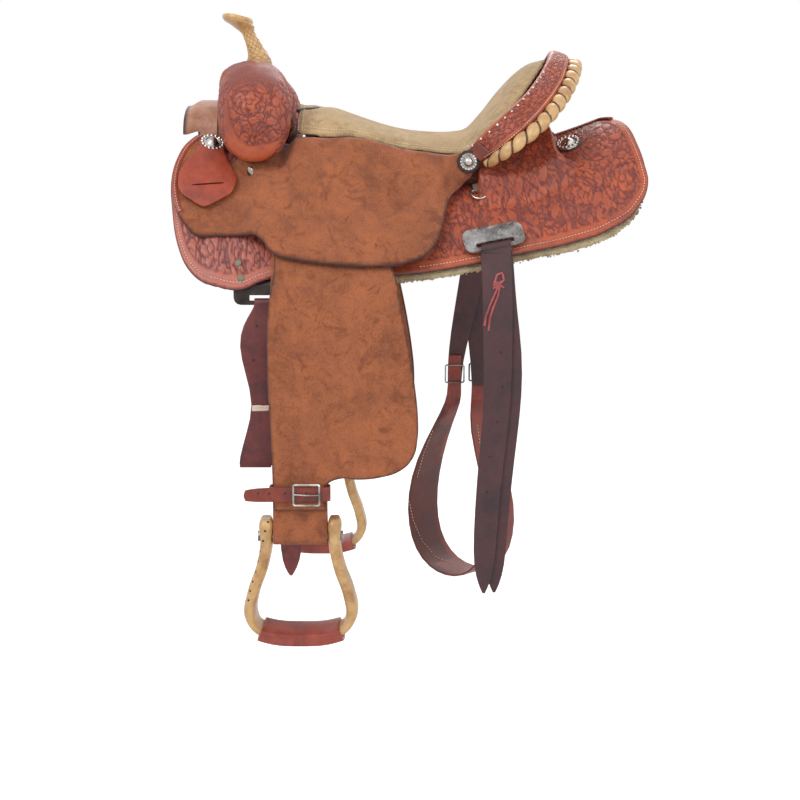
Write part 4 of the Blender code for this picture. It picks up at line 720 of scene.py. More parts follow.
class Eye:
    """The camera of the photograph, which finds a pixel's place on a piece."""

    PLACE = Vector((0.0, -2.02, -0.04))
    PITCH = math.radians(9.05)
    FOCAL = 1306.0
    FRAME = 800.0

    @classmethod
    def ray(cls, px: float, py: float) -> Vector:
        """Direction from the camera through a pixel."""
        c, s = math.cos(cls.PITCH), math.sin(cls.PITCH)
        x = (px - cls.FRAME / 2) / cls.FOCAL
        up = (cls.FRAME / 2 - py) / cls.FOCAL
        return Vector((x, c + up * s, -s + up * c)).normalized()

    @classmethod
    def pixels(cls, spots: np.ndarray) -> np.ndarray:
        """Pixels at which points of the near side show."""
        d = spots - np.array(cls.PLACE[:])
        c, s = math.cos(cls.PITCH), math.sin(cls.PITCH)
        far = d[:, 1] * c - d[:, 2] * s
        up = d[:, 1] * s + d[:, 2] * c
        half = cls.FRAME / 2
        return np.stack([half + cls.FOCAL * d[:, 0] / far,
                         half - cls.FOCAL * up / far], 1)

    @classmethod
    def pick(cls, pixel: tuple, tree: BVHTree) -> tuple[Vector, Vector]:
        """Point and outward normal where a pixel's ray meets a piece."""
        ray = cls.ray(*pixel)
        spot, normal, _, _ = tree.ray_cast(cls.PLACE, ray)
        if spot is None:
            spot, normal, _, _ = tree.find_nearest(cls.PLACE + ray * 1.85)
        return spot, (normal if normal.dot(ray) < 0 else -normal)

    @classmethod
    def picks(cls, pixels: Sequence[tuple], tree: BVHTree) -> list[np.ndarray]:
        """Points and normals under several pixels, as arrays."""
        found = [cls.pick(pixel, tree) for pixel in pixels]
        return [np.array([f[k][:] for f in found]) for k in (0, 1)]

    @classmethod
    def line(cls, pixels: Sequence[tuple], tree: BVHTree, step: float = 3.0):
        """A pixel line laid on a piece: points and normals."""
        dense = []
        for a, b in zip(pixels, pixels[1:]):
            count = max(1, int(math.dist(a, b) / step))
            dense += [(a[0] + (b[0] - a[0]) * i / count, a[1] + (b[1] - a[1]) * i / count)
                      for i in range(count)]
        dense.append(pixels[-1])
        return cls.picks(dense, tree)


def flip(points: np.ndarray, side: float) -> np.ndarray:
    """Points of the near side, on the side asked for."""
    return points * np.array([1.0, -side, 1.0])


def resample(points: np.ndarray, normals: np.ndarray, pitch: float):
    """Points at an even pitch along a line: places, directions and normals."""
    length = lengths(points)
    count = max(2, int(length[-1] / pitch))
    at = (np.arange(count) + 0.5) * length[-1] / count
    spots = along_line(points, at, length)
    along = unit(along_line(points, at + pitch * 0.3, length)
                 - along_line(points, at - pitch * 0.3, length))
    up = along_line(normals, at, length)
    return spots, along, unit(up - along * (up * along).sum(1)[:, None])


def bead(u: int = 6, v: int = 4) -> tuple[np.ndarray, np.ndarray]:
    """A unit sphere's vertices and faces, the faces as triangles."""
    bm = bmesh.new()
    bmesh.ops.create_uvsphere(bm, u_segments=u, v_segments=v, radius=1.0)
    bmesh.ops.triangulate(bm, faces=bm.faces[:])
    found = coordinates(bm), np.array([[v.index for v in f.verts] for f in bm.faces])
    bm.free()
    return found


def repeat(name: str, template: tuple, spots: np.ndarray, axes: Sequence[np.ndarray],
           sizes: np.ndarray) -> bpy.types.Object:
    """Copies of one small form.

    Args:
        name: the piece's name.
        template: vertices and triangles of the form, about 1 in radius.
        spots: where each copy goes.
        axes: the copies' X, Y and Z directions, each (n, 3).
        sizes: half-size along each direction, (3,) or (n, 3).
    """
    base, faces = template
    sizes = np.broadcast_to(sizes, (len(spots), 3))
    verts = spots[:, None, :].repeat(len(base), 1)
    for k in range(3):
        verts = verts + (base[:, k][None, :, None] * sizes[:, k][:, None, None]
                         * axes[k][:, None, :])
    shifted = faces[None] + (np.arange(len(spots)) * len(base))[:, None, None]
    mesh = bpy.data.meshes.new(name)
    mesh.from_pydata(verts.reshape(-1, 3).tolist(), [], shifted.reshape(-1, 3).tolist())
    return link(name, mesh, None)


def studs(name: str, form: tuple, spots: np.ndarray, ups: np.ndarray,
          across: Sequence[float], sizes: Sequence[float]) -> bpy.types.Object:
    """Copies of a small form that lie flat on a surface."""
    along = unit(np.cross(ups, across))
    return repeat(name, form, spots, (along, np.cross(ups, along), ups), np.array(sizes))


def shaded_holes(name: str, spots: np.ndarray, ups: np.ndarray, radius: float):
    """Punched holes, each a small dark dimple painted as the shade inside it."""
    return studs(name, bead(10, 6), spots, ups, (0.2, 0.1, 0.97), (radius, radius, 0.0005))


def stitches(name: str, points: np.ndarray, normals: np.ndarray, pitch: float = 0.0046,
             length: float = 0.0032, width: float = 0.0012,
             lift: float = 0.0002) -> bpy.types.Object:
    """A row of single stitches sunk a little into the leather."""
    spots, along, up = resample(points, normals, pitch)
    return repeat(name, bead(), spots + up * lift, (along, np.cross(up, along), up),
                  np.array([length, width, width]) / 2)


def tube(name: str, points: np.ndarray, radius: float, sides: int = 8,
         flat: float = 1.0, normals=(0.13, 0.31, 0.94)):
    """A round or flattened strand along a line."""
    along = unit(np.gradient(points, axis=0))
    across = unit(np.cross(along, np.broadcast_to(normals, along.shape)))
    up = np.cross(across, along)
    bm = bmesh.new()
    rings = []
    for p, a, b in zip(points, across * radius, up * radius * flat):
        rings.append([bm.verts.new(p + a * math.cos(t) + b * math.sin(t))
                      for t in np.linspace(0, 2 * math.pi, sides, endpoint=False)])
    for first, second in zip(rings, rings[1:]):
        for i in range(sides):
            j = (i + 1) % sides
            bm.faces.new((first[i], first[j], second[j], second[i]))
    bm.faces.new(rings[0][::-1])
    bm.faces.new(rings[-1])
    return from_bmesh(name, bm, 60.0)


def join(name: str, pieces: Sequence[bpy.types.Object]) -> bpy.types.Object:
    """Make several pieces of one finish into one."""
    bm = bmesh.new()
    for piece in pieces:
        bm.from_mesh(piece.data)
        bpy.data.objects.remove(piece, do_unlink=True)
    return as_piece(name, bm, 60.0)


def disc_of(node: str) -> tuple[np.ndarray, np.ndarray, float, float]:
    """Centre of a disc-shaped node, its two flat axes and outward axis, its radius
    and its thickness."""
    spots = spots_of(frame["nodes"][node])
    mean = spots.mean(0)
    _, _, axes = np.linalg.svd(spots - mean, full_matrices=False)
    if axes[2] @ np.array([0.0, np.sign(spots[:, 1].min() + spots[:, 1].max()), 0.5]) < 0:
        axes[2] = -axes[2]
    depth = (spots - mean) @ axes[2]
    radius = np.percentile(np.linalg.norm((spots - mean) @ axes[:2].T, axis=1), 98)
    centre = mean + axes[2] * (depth.max() + depth.min()) / 2
    return centre, axes, float(radius), float(depth.max() - depth.min())


def dressed(node: str, finish: Finish, body: str, bevel: float = 0.0007,
            levels: int = 1, sharp: float = 35.0,
            shape: Optional[Callable] = None) -> bpy.types.Object:
    """A node's strap, panel or fitting with its cut edges rounded.

    Args:
        node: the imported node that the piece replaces.
        finish: its material.
        body: the body that it rides on.
        bevel: how far the edges are rounded.
        levels: how often the faces are divided.
        sharp: the angle from which an edge counts as cut.
        shape: changes the bmesh before its edges are rounded.
    """
    bm = bmesh.new()
    bm.from_mesh(frame["nodes"][node].data)
    bmesh.ops.remove_doubles(bm, verts=bm.verts[:], dist=1e-5)
    if shape is not None:
        shape(bm)
    bmesh.ops.join_triangles(bm, faces=bm.faces[:], angle_face_threshold=0.5,
                             angle_shape_threshold=0.9)
    bm.normal_update()
    limit = math.radians(sharp)
    edges = [e for e in bm.edges if len(e.link_faces) == 2
             and e.calc_face_angle(0.0) > limit]
    bmesh.ops.bevel(bm, geom=edges, offset=bevel, segments=2, profile=0.6,
                    affect="EDGES", clamp_overlap=True)
    obj = from_bmesh(node + "_dressed", bm, 60.0)
    if levels:
        subdivide(obj, levels)
    return finish_piece(obj, finish, body, [node])


# Floral tooling

class Floral:
    """A running scroll with leaves and flowers, drawn on a plane in metres."""

    MOAT = 0.0011
    EDGE = 0.0006
    GROUND = 0.20
    FILL = 0.0105

    def __init__(self, seed: int, low: tuple, high: tuple, pitch: float = 0.056):
        self.rng = np.random.default_rng(seed)
        self.marks: list[tuple] = []
        self.low, self.pitch = low, pitch
        self.row_pitch = pitch * 0.86
        self._fill(low, high)
        rows = max(1, round((high[1] - low[1]) / self.row_pitch))
        columns = max(1, round((high[0] - low[0]) / pitch))
        for row in range(-1, rows + 1):
            for column in range(-1, columns + 1):
                x, y, spin = self._centre(row, column)
                jitter = self.rng.uniform(-0.08, 0.08, 2) * pitch
                self._scroll(x + jitter[0], y + jitter[1], pitch * 0.46, spin)

    def _centre(self, row: int, column: int) -> tuple[float, float, float]:
        """Middle of a scroll, and the way in which it turns."""
        return (self.low[0] + (column + 0.5 + 0.5 * (row % 2)) * self.pitch,
                self.low[1] + (row + 0.5) * self.row_pitch,
                1.0 if (row + column) % 2 else -1.0)

    def _fill(self, low: tuple, high: tuple) -> None:
        """Small leaves that follow the scrolls' swirl and fill the ground."""
        step = self.FILL
        for y in np.arange(low[1] - step, high[1] + step, step * 0.8):
            for x in np.arange(low[0] - step, high[0] + step, step):
                row = round((y - low[1]) / self.row_pitch - 0.5)
                column = round((x - low[0]) / self.pitch - 0.5 - 0.5 * (row % 2))
                cx, cy, spin = self._centre(row, column)
                px, py = np.array([x, y]) + self.rng.uniform(-0.3, 0.3, 2) * step
                heading = math.atan2(py - cy, px - cx) + spin * 1.25
                reach = step * self.rng.uniform(1.6, 2.3)
                self._leaf(px, py, heading + self.rng.uniform(-0.3, 0.3), reach,
                           reach * 0.125, spin * self.rng.uniform(1.0, 2.2))

    def _scroll(self, x: float, y: float, size: float, spin: float) -> None:
        """One turn of stem with leaves outside it and a flower in its eye."""
        start = self.rng.uniform(0.0, 2.0 * math.pi)
        for k in range(4):
            angle = start + k * 1.6
            self._leaf(x + math.cos(angle) * size * 1.15, y + math.sin(angle) * size * 1.15,
                       angle + self.rng.uniform(-0.6, 0.6), size * 0.66, size * 0.19,
                       spin * 1.2)
        sweep = spin * 5.2
        self.marks.append(("arc", x, y, size, size * 0.55, start, sweep, size * 0.085, 0))
        for k in range(8):
            share = 0.06 + 0.115 * k
            angle = start + sweep * share
            radius = size * (1.0 - 0.45 * share)
            px, py = x + radius * math.cos(angle), y + radius * math.sin(angle)
            lean = angle + spin * (0.55 + 0.25 * (k % 2))
            reach = size * (0.62 if k % 2 else 0.50) * (1.0 - 0.35 * share)
            if k % 3 == 2:
                lean, reach = angle + math.pi - spin * 0.9, reach * 0.7
            self._leaf(px, py, lean, reach, reach * 0.33, spin * (1.5 if k % 2 else -1.3))
        self._flower(x, y, size * 0.48, start)

    def _leaf(self, x: float, y: float, heading: float, reach: float, width: float,
              bend: float) -> None:
        """A curled leaf that starts at x, y and bends as it goes."""
        radius = reach / max(0.3, abs(bend))
        turn = math.copysign(math.pi / 2, bend)
        cx = x + radius * math.cos(heading + turn)
        cy = y + radius * math.sin(heading + turn)
        self.marks.append(("arc", cx, cy, radius, radius * 0.8, heading - turn, bend,
                           width, 1))

    def _flower(self, x: float, y: float, size: float, start: float) -> None:
        """Five round petals about a domed eye."""
        for k in range(5):
            angle = start + k * 2.0 * math.pi / 5.0
            self.marks.append(("petal", x, y, size, size * 0.42, angle, 0.0, 0.0, 2))
        self.marks.append(("petal", x, y, size * 0.3, size * 0.3, start, 0.0, 0.0, 3))

    def sample(self, points: np.ndarray) -> tuple[np.ndarray, np.ndarray]:
        """Mask of the raised work and its height from 0 to 1, at plane points."""
        mask = np.full(len(points), self.GROUND)
        height = np.zeros(len(points))
        for kind, x, y, a, b, start, sweep, width, form in self.marks:
            reach = a + max(width, 0.0) + 0.003 if kind == "arc" else a * 1.1 + 0.003
            dx, dy = points[:, 0] - x, points[:, 1] - y
            chosen = np.nonzero((np.abs(dx) < reach) & (np.abs(dy) < reach))[0]
            if not len(chosen):
                continue
            dx, dy = dx[chosen], dy[chosen]
            if kind == "arc":
                inside, vein = self._arc(dx, dy, (a, b), start, sweep, width, form == 1)
            elif form == 2:
                inside, vein = self._petal(dx, dy, a, b, start)
            else:
                inside = a - np.hypot(dx, dy)
                vein = 0.4 * (np.sin(dx * 2600.0) * np.sin(dy * 2600.0) > 0)
            new = np.clip(inside / self.EDGE, 0.0, 1.0)
            level = new * (1.0 - 0.45 * vein) * (0.6 + 0.4 * np.clip(inside / 0.0022, 0, 1))
            over = inside > -self.MOAT
            index = chosen[over]
            mask[index] = new[over] * (1.0 - 0.35 * vein[over])
            height[index] = level[over]
        return mask, height

    @staticmethod
    def _arc(dx: np.ndarray, dy: np.ndarray, radii: tuple, start: float, sweep: float,
             width: float, leaf: bool) -> tuple[np.ndarray, np.ndarray]:
        """Depth inside a bent stem or leaf, and the leaf's vein."""
        turn = ((np.arctan2(dy, dx) - start) * math.copysign(1.0, sweep)) % math.tau
        t = turn / abs(sweep)
        lap = math.tau / abs(sweep)
        t = np.where(t > 1.0 + 0.5 * (lap - 1.0), t - lap, t)
        centre = radii[0] + (radii[1] - radii[0]) * np.clip(t, 0.0, 1.0)
        off = np.hypot(dx, dy) - centre
        if leaf:
            wide = width * np.sin(math.pi * np.clip(t, 0.02, 1.0) ** 0.62) ** 0.8
        else:
            wide = width * (1.0 - 0.35 * np.clip(t, 0, 1))
        past = np.maximum(0.0, np.maximum(-t, t - 1.0)) * abs(sweep) * centre
        return wide - np.hypot(off, past), bell(off / (0.16 * wide + 0.0003)) * leaf

    @staticmethod
    def _petal(dx: np.ndarray, dy: np.ndarray, reach: float, width: float,
               start: float) -> tuple[np.ndarray, np.ndarray]:
        """Depth inside a petal, and its crease."""
        c, s = math.cos(start), math.sin(start)
        along, off = dx * c + dy * s, -dx * s + dy * c
        t = np.clip(along / reach, 0.0, 1.0)
        wide = width * np.sin(math.pi * t ** 0.75) ** 0.6
        wide = wide * (1.0 - 0.10 * np.cos(off / width * 9.0))
        inside = np.where((along > 0) & (along < reach), wide - np.abs(off), -1.0)
        return inside, bell(off / 0.0006) * 0.6 * (t < 0.75)

    def wrap(self, points: np.ndarray, normals: np.ndarray) -> tuple:
        """Sample on a body, through the plane that each point faces."""
        weights = np.abs(normals) ** 10.0
        weights /= weights.sum(1)[:, None] + 1e-12
        mask = np.zeros(len(points))
        height = np.zeros(len(points))
        for axis, pair in ((0, (1, 2)), (1, (0, 2)), (2, (0, 1))):
            near = weights[:, axis] > 0.02
            m, h = self.sample(points[near][:, pair])
            mask[near] += m * weights[near, axis]
            height[near] += h * weights[near, axis]
        return mask, height


def framed(mask: np.ndarray, height: np.ndarray, field: np.ndarray,
           line: np.ndarray) -> tuple[np.ndarray, np.ndarray]:
    """Tooling kept to its field, plain outside it, with a line cut between them."""
    return (np.clip(mask * field + (1.0 - field) - 0.8 * line, 0.0, 1.0),
            height * field + 0.85 * (1.0 - field) - 0.8 * line)


# Surfaces that the leather lies on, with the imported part's sizes

class Back:
    """The horse's back as the skirts follow it."""

    RIDGE = 0.002
    ROCK = (0.64, 0.67)
    HALF = 0.200
    DROP = 0.150

    @classmethod
    def point(cls, x, y, n=0.0) -> np.ndarray:
        """Points n above the back, over x and half-width y."""
        x, y = np.asarray(x, float), np.asarray(y, float)
        rock = np.where(x < 0, cls.ROCK[0], cls.ROCK[1])
        top = cls.RIDGE + rock * x * x
        share = (y / cls.HALF) ** 2
        normal = unit(np.stack([-2.0 * rock * x * (1.0 - share),
                                2.0 * y / cls.HALF ** 2 * (top + cls.DROP),
                                np.ones_like(x + y)], -1))
        base = np.stack([x, y, top - share * (top + cls.DROP)], -1)
        return base + normal * np.asarray(n)[..., None]

    @classmethod
    def height(cls, x, y, n) -> np.ndarray:
        """Height of the surface n above the back, at plan positions."""
        x, y = np.asarray(x, float), np.asarray(y, float)
        base = y.copy() if y.ndim else float(y)
        for _ in range(12):
            base = base + y - cls.point(x, base, n)[..., 1]
        return cls.point(x, base, n)[..., 2]

    @classmethod
    def hang(cls, x: float, n: float, start: float, ease: float) -> Callable:
        """Half-width against height of a leather that hangs past the flank."""
        spots = cls.point(np.full(60, x), np.linspace(0.06, 0.24, 60), n)[::-1]
        edge, above = np.interp((start, start + 0.002), spots[:, 2], spots[:, 1])
        slope = (edge - above) / 0.002

        def profile(z):
            z = np.asarray(z, float)
            t = np.clip((start - z) / ease, 0.0, 1.0)
            low = edge + slope * ease * (t - 0.5 * t * t)
            return np.where(z >= start, np.interp(z, spots[:, 2], spots[:, 1]), low)

        return profile


@dataclass(frozen=True)
class Layers:
    """Thicknesses and heights of the leathers over the back, in metres."""

    skirt: float = 0.005
    layer: float = 0.0006
    slide: float = 0.0015
    swing: float = 0.0045
    touch: float = 0.0003
    strap: float = 0.004
    fender: float = 0.0045
    jockey: float = 0.0045
    cover: float = 0.0035
    seat: float = 0.012
    fleece: float = 0.013
    bar: float = 0.019

    @property
    def bar_top(self) -> float:
        """Upper face of the bars, with the gap above it."""
        return self.skirt + 2 * self.layer + self.bar

    @property
    def fender_low(self) -> float:
        """Inner face of the fender."""
        inner = self.skirt + 2 * self.slide + self.strap / 2
        return inner + self.strap + self.touch + self.strap / 2 + self.layer

    @property
    def jockey_over(self) -> float:
        """Inner face of the jockey where it passes over the fender."""
        return self.fender_low + self.fender + self.swing


LAY = Layers()
SEAT_ROWS = np.array([
    (-0.1520, 0.100, 0.000, 0.0975, 0.044), (-0.1380, 0.104, 0.000, 0.091, 0.041),
    (-0.1210, 0.1065, 0.000, 0.085, 0.040), (-0.0980, 0.112, 0.000, 0.083, 0.039),
    (-0.0740, 0.114, 0.000, 0.075, 0.040), (-0.0450, 0.116, 0.000, 0.065, 0.036),
    (-0.0020, 0.118, 0.000, 0.053, 0.024), (0.0410, 0.122, 0.000, 0.048, 0.018),
    (0.0760, 0.119, 0.004, 0.048, 0.015), (0.0980, 0.1205, 0.010, 0.052, 0.016),
    (0.1200, 0.1235, 0.022, 0.073, 0.022), (0.1500, 0.1335, 0.037, 0.110, 0.037),
    (0.1780, 0.1370, 0.052, 0.138, 0.049), (0.2010, 0.1375, 0.067, 0.154, 0.056),
    (0.2170, 0.1375, 0.076, 0.161, 0.062)])


class Bars:
    """The tree's bars as the leather over them feels them."""

    FRONT, REAR = -0.240, 0.224
    OUTER = 0.115
    WAIST = 0.022
    CLEAR = 0.004
    FALL = 0.026
    FALL_FRONT = 0.014
    FALL_REAR = 0.006

    @classmethod
    def rise(cls, x: np.ndarray, y: np.ndarray,
             fall: float | np.ndarray) -> np.ndarray:
        """1 over the bar, easing to 0 beside it and past its ends."""
        at = np.clip(x, cls.FRONT, cls.REAR)
        t = (at - cls.FRONT) / (cls.REAR - cls.FRONT)
        waist = cls.WAIST * np.sin(math.pi * t) ** 2
        outer = (cls.OUTER - 0.018 * (2.0 * t - 1.0) ** 6
                 - waist * smoothstep((at + 0.09) / 0.06))
        width = cls.FALL * (0.22 + 0.78 * smoothstep((x + 0.226) / 0.036))
        beside = np.maximum(0.0, y - outer - cls.CLEAR) / width
        ahead = np.maximum(cls.FRONT - x - cls.CLEAR, x - cls.REAR - cls.CLEAR)
        return 1.0 - smoothstep(np.hypot(beside, np.maximum(0.0, ahead) / fall))


class JockeySurface:
    """Heights of the seat jockey over the back."""

    def __init__(self):
        rows = SEAT_ROWS[:10]
        self.x = np.linspace(-0.34, 0.13, 95)
        places = rows[:, 0] - rows[:, 2]
        half = np.interp(self.x, places, rows[:, 1])
        edge = np.interp(self.x, places, rows[:, 4])
        self.base = np.zeros_like(half)
        self.top = np.zeros_like(half)
        for i, x in enumerate(self.x):
            target = np.array([x, half[i] + LAY.slide, edge[i] - LAY.jockey])
            base = half[i]
            for _ in range(12):
                spot = Back.point(x, base)
                normal = Back.point(x, base, 1.0) - spot
                self.top[i] = (target - spot) @ normal
                base += (target - spot - normal * self.top[i])[1]
            self.base[i] = base

    def inner(self, x: np.ndarray) -> np.ndarray:
        """Half-width of the upper edge."""
        return np.interp(x, self.x, self.base)

    def height(self, x: np.ndarray, y: np.ndarray) -> np.ndarray:
        """Height of the jockey's inner face."""
        over = smoothstep((x + 0.232) / 0.037) * smoothstep((0.100 - x) / 0.050)
        edge = LAY.skirt + LAY.layer
        low = edge + (LAY.jockey_over - edge) * over
        inner = self.inner(x)
        start = 0.150 - 0.030 * smoothstep((x - 0.050) / 0.040)
        top = np.interp(x, self.x, self.top)
        by_seat = (top - low) * smoothstep((start - y) / (start - inner))
        by_bar = ((LAY.bar_top + LAY.layer - low) * Bars.rise(x, y, Bars.FALL_FRONT)
                  * smoothstep((x + 0.243) / 0.012))
        return low + by_bar + (by_seat - by_bar) * smoothstep((x + 0.178) / 0.022)


JOCKEY = JockeySurface()
SKIRT_OUTLINE = [
    (-0.285, 0.052), (-0.307, 0.076), (-0.320, 0.105), (-0.326, 0.130),
    (-0.322, 0.155), (-0.309, 0.185), (-0.288, 0.202), (-0.250, 0.211),
    (-0.218, 0.213), (-0.190, 0.2075), (-0.150, 0.203), (-0.070, 0.204),
    (0.010, 0.203), (0.106, 0.194), (0.160, 0.187), (0.240, 0.179),
    (0.295, 0.171), (0.335, 0.158), (0.352, 0.141), (0.350, 0.122),
    (0.343, 0.096), (0.335, 0.068), (0.322, 0.040), (0.300, 0.006, 1),
    (0.245, 0.006, 1), (0.225, 0.030), (0.150, 0.034), (0.000, 0.034),
    (-0.150, 0.034), (-0.235, 0.036)]
FLEECE_OUTLINE = [
    (-0.282, 0.056), (-0.303, 0.080), (-0.315, 0.106), (-0.321, 0.130),
    (-0.317, 0.155), (-0.304, 0.184), (-0.285, 0.198), (-0.250, 0.2035),
    (-0.130, 0.2035), (-0.070, 0.207), (0.010, 0.207), (0.106, 0.198),
    (0.166, 0.190), (0.268, 0.180), (0.316, 0.169), (0.342, 0.152),
    (0.346, 0.137), (0.345, 0.122), (0.339, 0.096), (0.331, 0.068),
    (0.318, 0.042), (0.297, 0.009, 1), (0.248, 0.009, 1), (0.226, 0.033),
    (0.150, 0.037), (0.000, 0.037), (-0.150, 0.037), (-0.233, 0.040)]
JOCKEY_OUTLINE = [
    (-0.307, 0.081), (-0.320, 0.108), (-0.3245, 0.130), (-0.320, 0.151),
    (-0.311, 0.163, 1), (-0.298, 0.171), (-0.284, 0.176), (-0.252, 0.175),
    (-0.218, 0.175), (-0.195, 0.181), (-0.176, 0.1925), (-0.150, 0.197),
    (-0.081, 0.2025), (-0.020, 0.2035), (0.015, 0.200), (0.044, 0.190),
    (0.060, 0.168), (0.066, 0.149), (0.076, 0.127), (0.092, 0.113),
    (0.108, 0.106), (0.111, 0.098), (0.102, 0.092)]
JOCKEY_OUTLINE += [(x, float(JOCKEY.inner(np.array([x]))[0]))
                   for x in (0.078, 0.030, -0.020, -0.070, -0.105, -0.140)]
JOCKEY_OUTLINE += [
    (-0.160, 0.078), (-0.198, 0.076), (-0.222, 0.082), (-0.240, 0.092),
    (-0.252, 0.100), (-0.2600, 0.102, 1), (-0.2600, 0.062, 1), (-0.292, 0.064)]
LEG_X = -0.1395
FENDER_OUTLINE = [
    (LEG_X - 0.034, -0.054), (LEG_X - 0.0405, -0.084), (-0.173, -0.138),
    (-0.180, -0.195), (-0.182, -0.238), (-0.182, -0.300), (-0.1785, -0.380),
    (-0.1772, -0.440), (-0.1768, -0.479, 1), (-0.1022, -0.479, 1),
    (-0.1022, -0.444), (-0.085, -0.434), (-0.056, -0.435), (-0.028, -0.432),
    (0.001, -0.422), (0.018, -0.404), (0.0245, -0.376), (0.025, -0.350),
    (0.021, -0.307), (0.013, -0.256), (0.002, -0.200), (-0.011, -0.141),
    (-0.040, -0.104), (-0.075, -0.074), (LEG_X + 0.034, -0.052),
    (LEG_X, -0.034)]


def border_line(loop: np.ndarray, inset: float, keep: Callable) -> list[np.ndarray]:
    """Runs of points at an inset inside an outline, where keep(points) is true."""
    dense = np.concatenate([np.linspace(a, b, max(2, int(np.linalg.norm(b - a) / 0.002)),
                                        endpoint=False)
                            for a, b in zip(loop, np.roll(loop, -1, 0))])
    step = unit(np.roll(dense, -1, 0) - np.roll(dense, 1, 0))
    area = 0.5 * np.sum(loop[:, 0] * np.roll(loop[:, 1], -1)
                        - np.roll(loop[:, 0], -1) * loop[:, 1])
    inward = np.stack([-step[:, 1], step[:, 0]], 1) * np.sign(area)
    spots = dense + inward * inset
    depth, _ = depth_in(spots, loop)
    good = (depth > inset * 0.93) & keep(spots)
    if good.all():
        return [np.vstack([spots, spots[:1]])]
    start = int(np.nonzero(~good)[0][0])
    spots, good = np.roll(spots, -start, 0), np.roll(good, -start)
    runs, run = [], []
    for spot, fine in zip(spots, good):
        if fine and (not run or np.linalg.norm(spot - run[-1]) < 0.012):
            run.append(spot)
        else:
            if len(run) > 4:
                runs.append(np.array(run))
            run = [spot] if fine else []
    if len(run) > 4:
        runs.append(np.array(run))
    return runs


def on_panel(run: np.ndarray, place: Place) -> tuple[np.ndarray, np.ndarray]:
    """A flat line laid on a panel's surface: points and outward normals."""
    x, y = run[:, 0], run[:, 1]
    spots = place(x, y)
    normals = unit(np.cross(place(x + 0.002, y) - spots, place(x, y + 0.002) - spots))
    side = np.sign(spots[:, 1].mean())
    flips = np.sign((normals * np.array([0.0, side, 0.4])).sum(1))
    return spots, normals * flips[:, None]


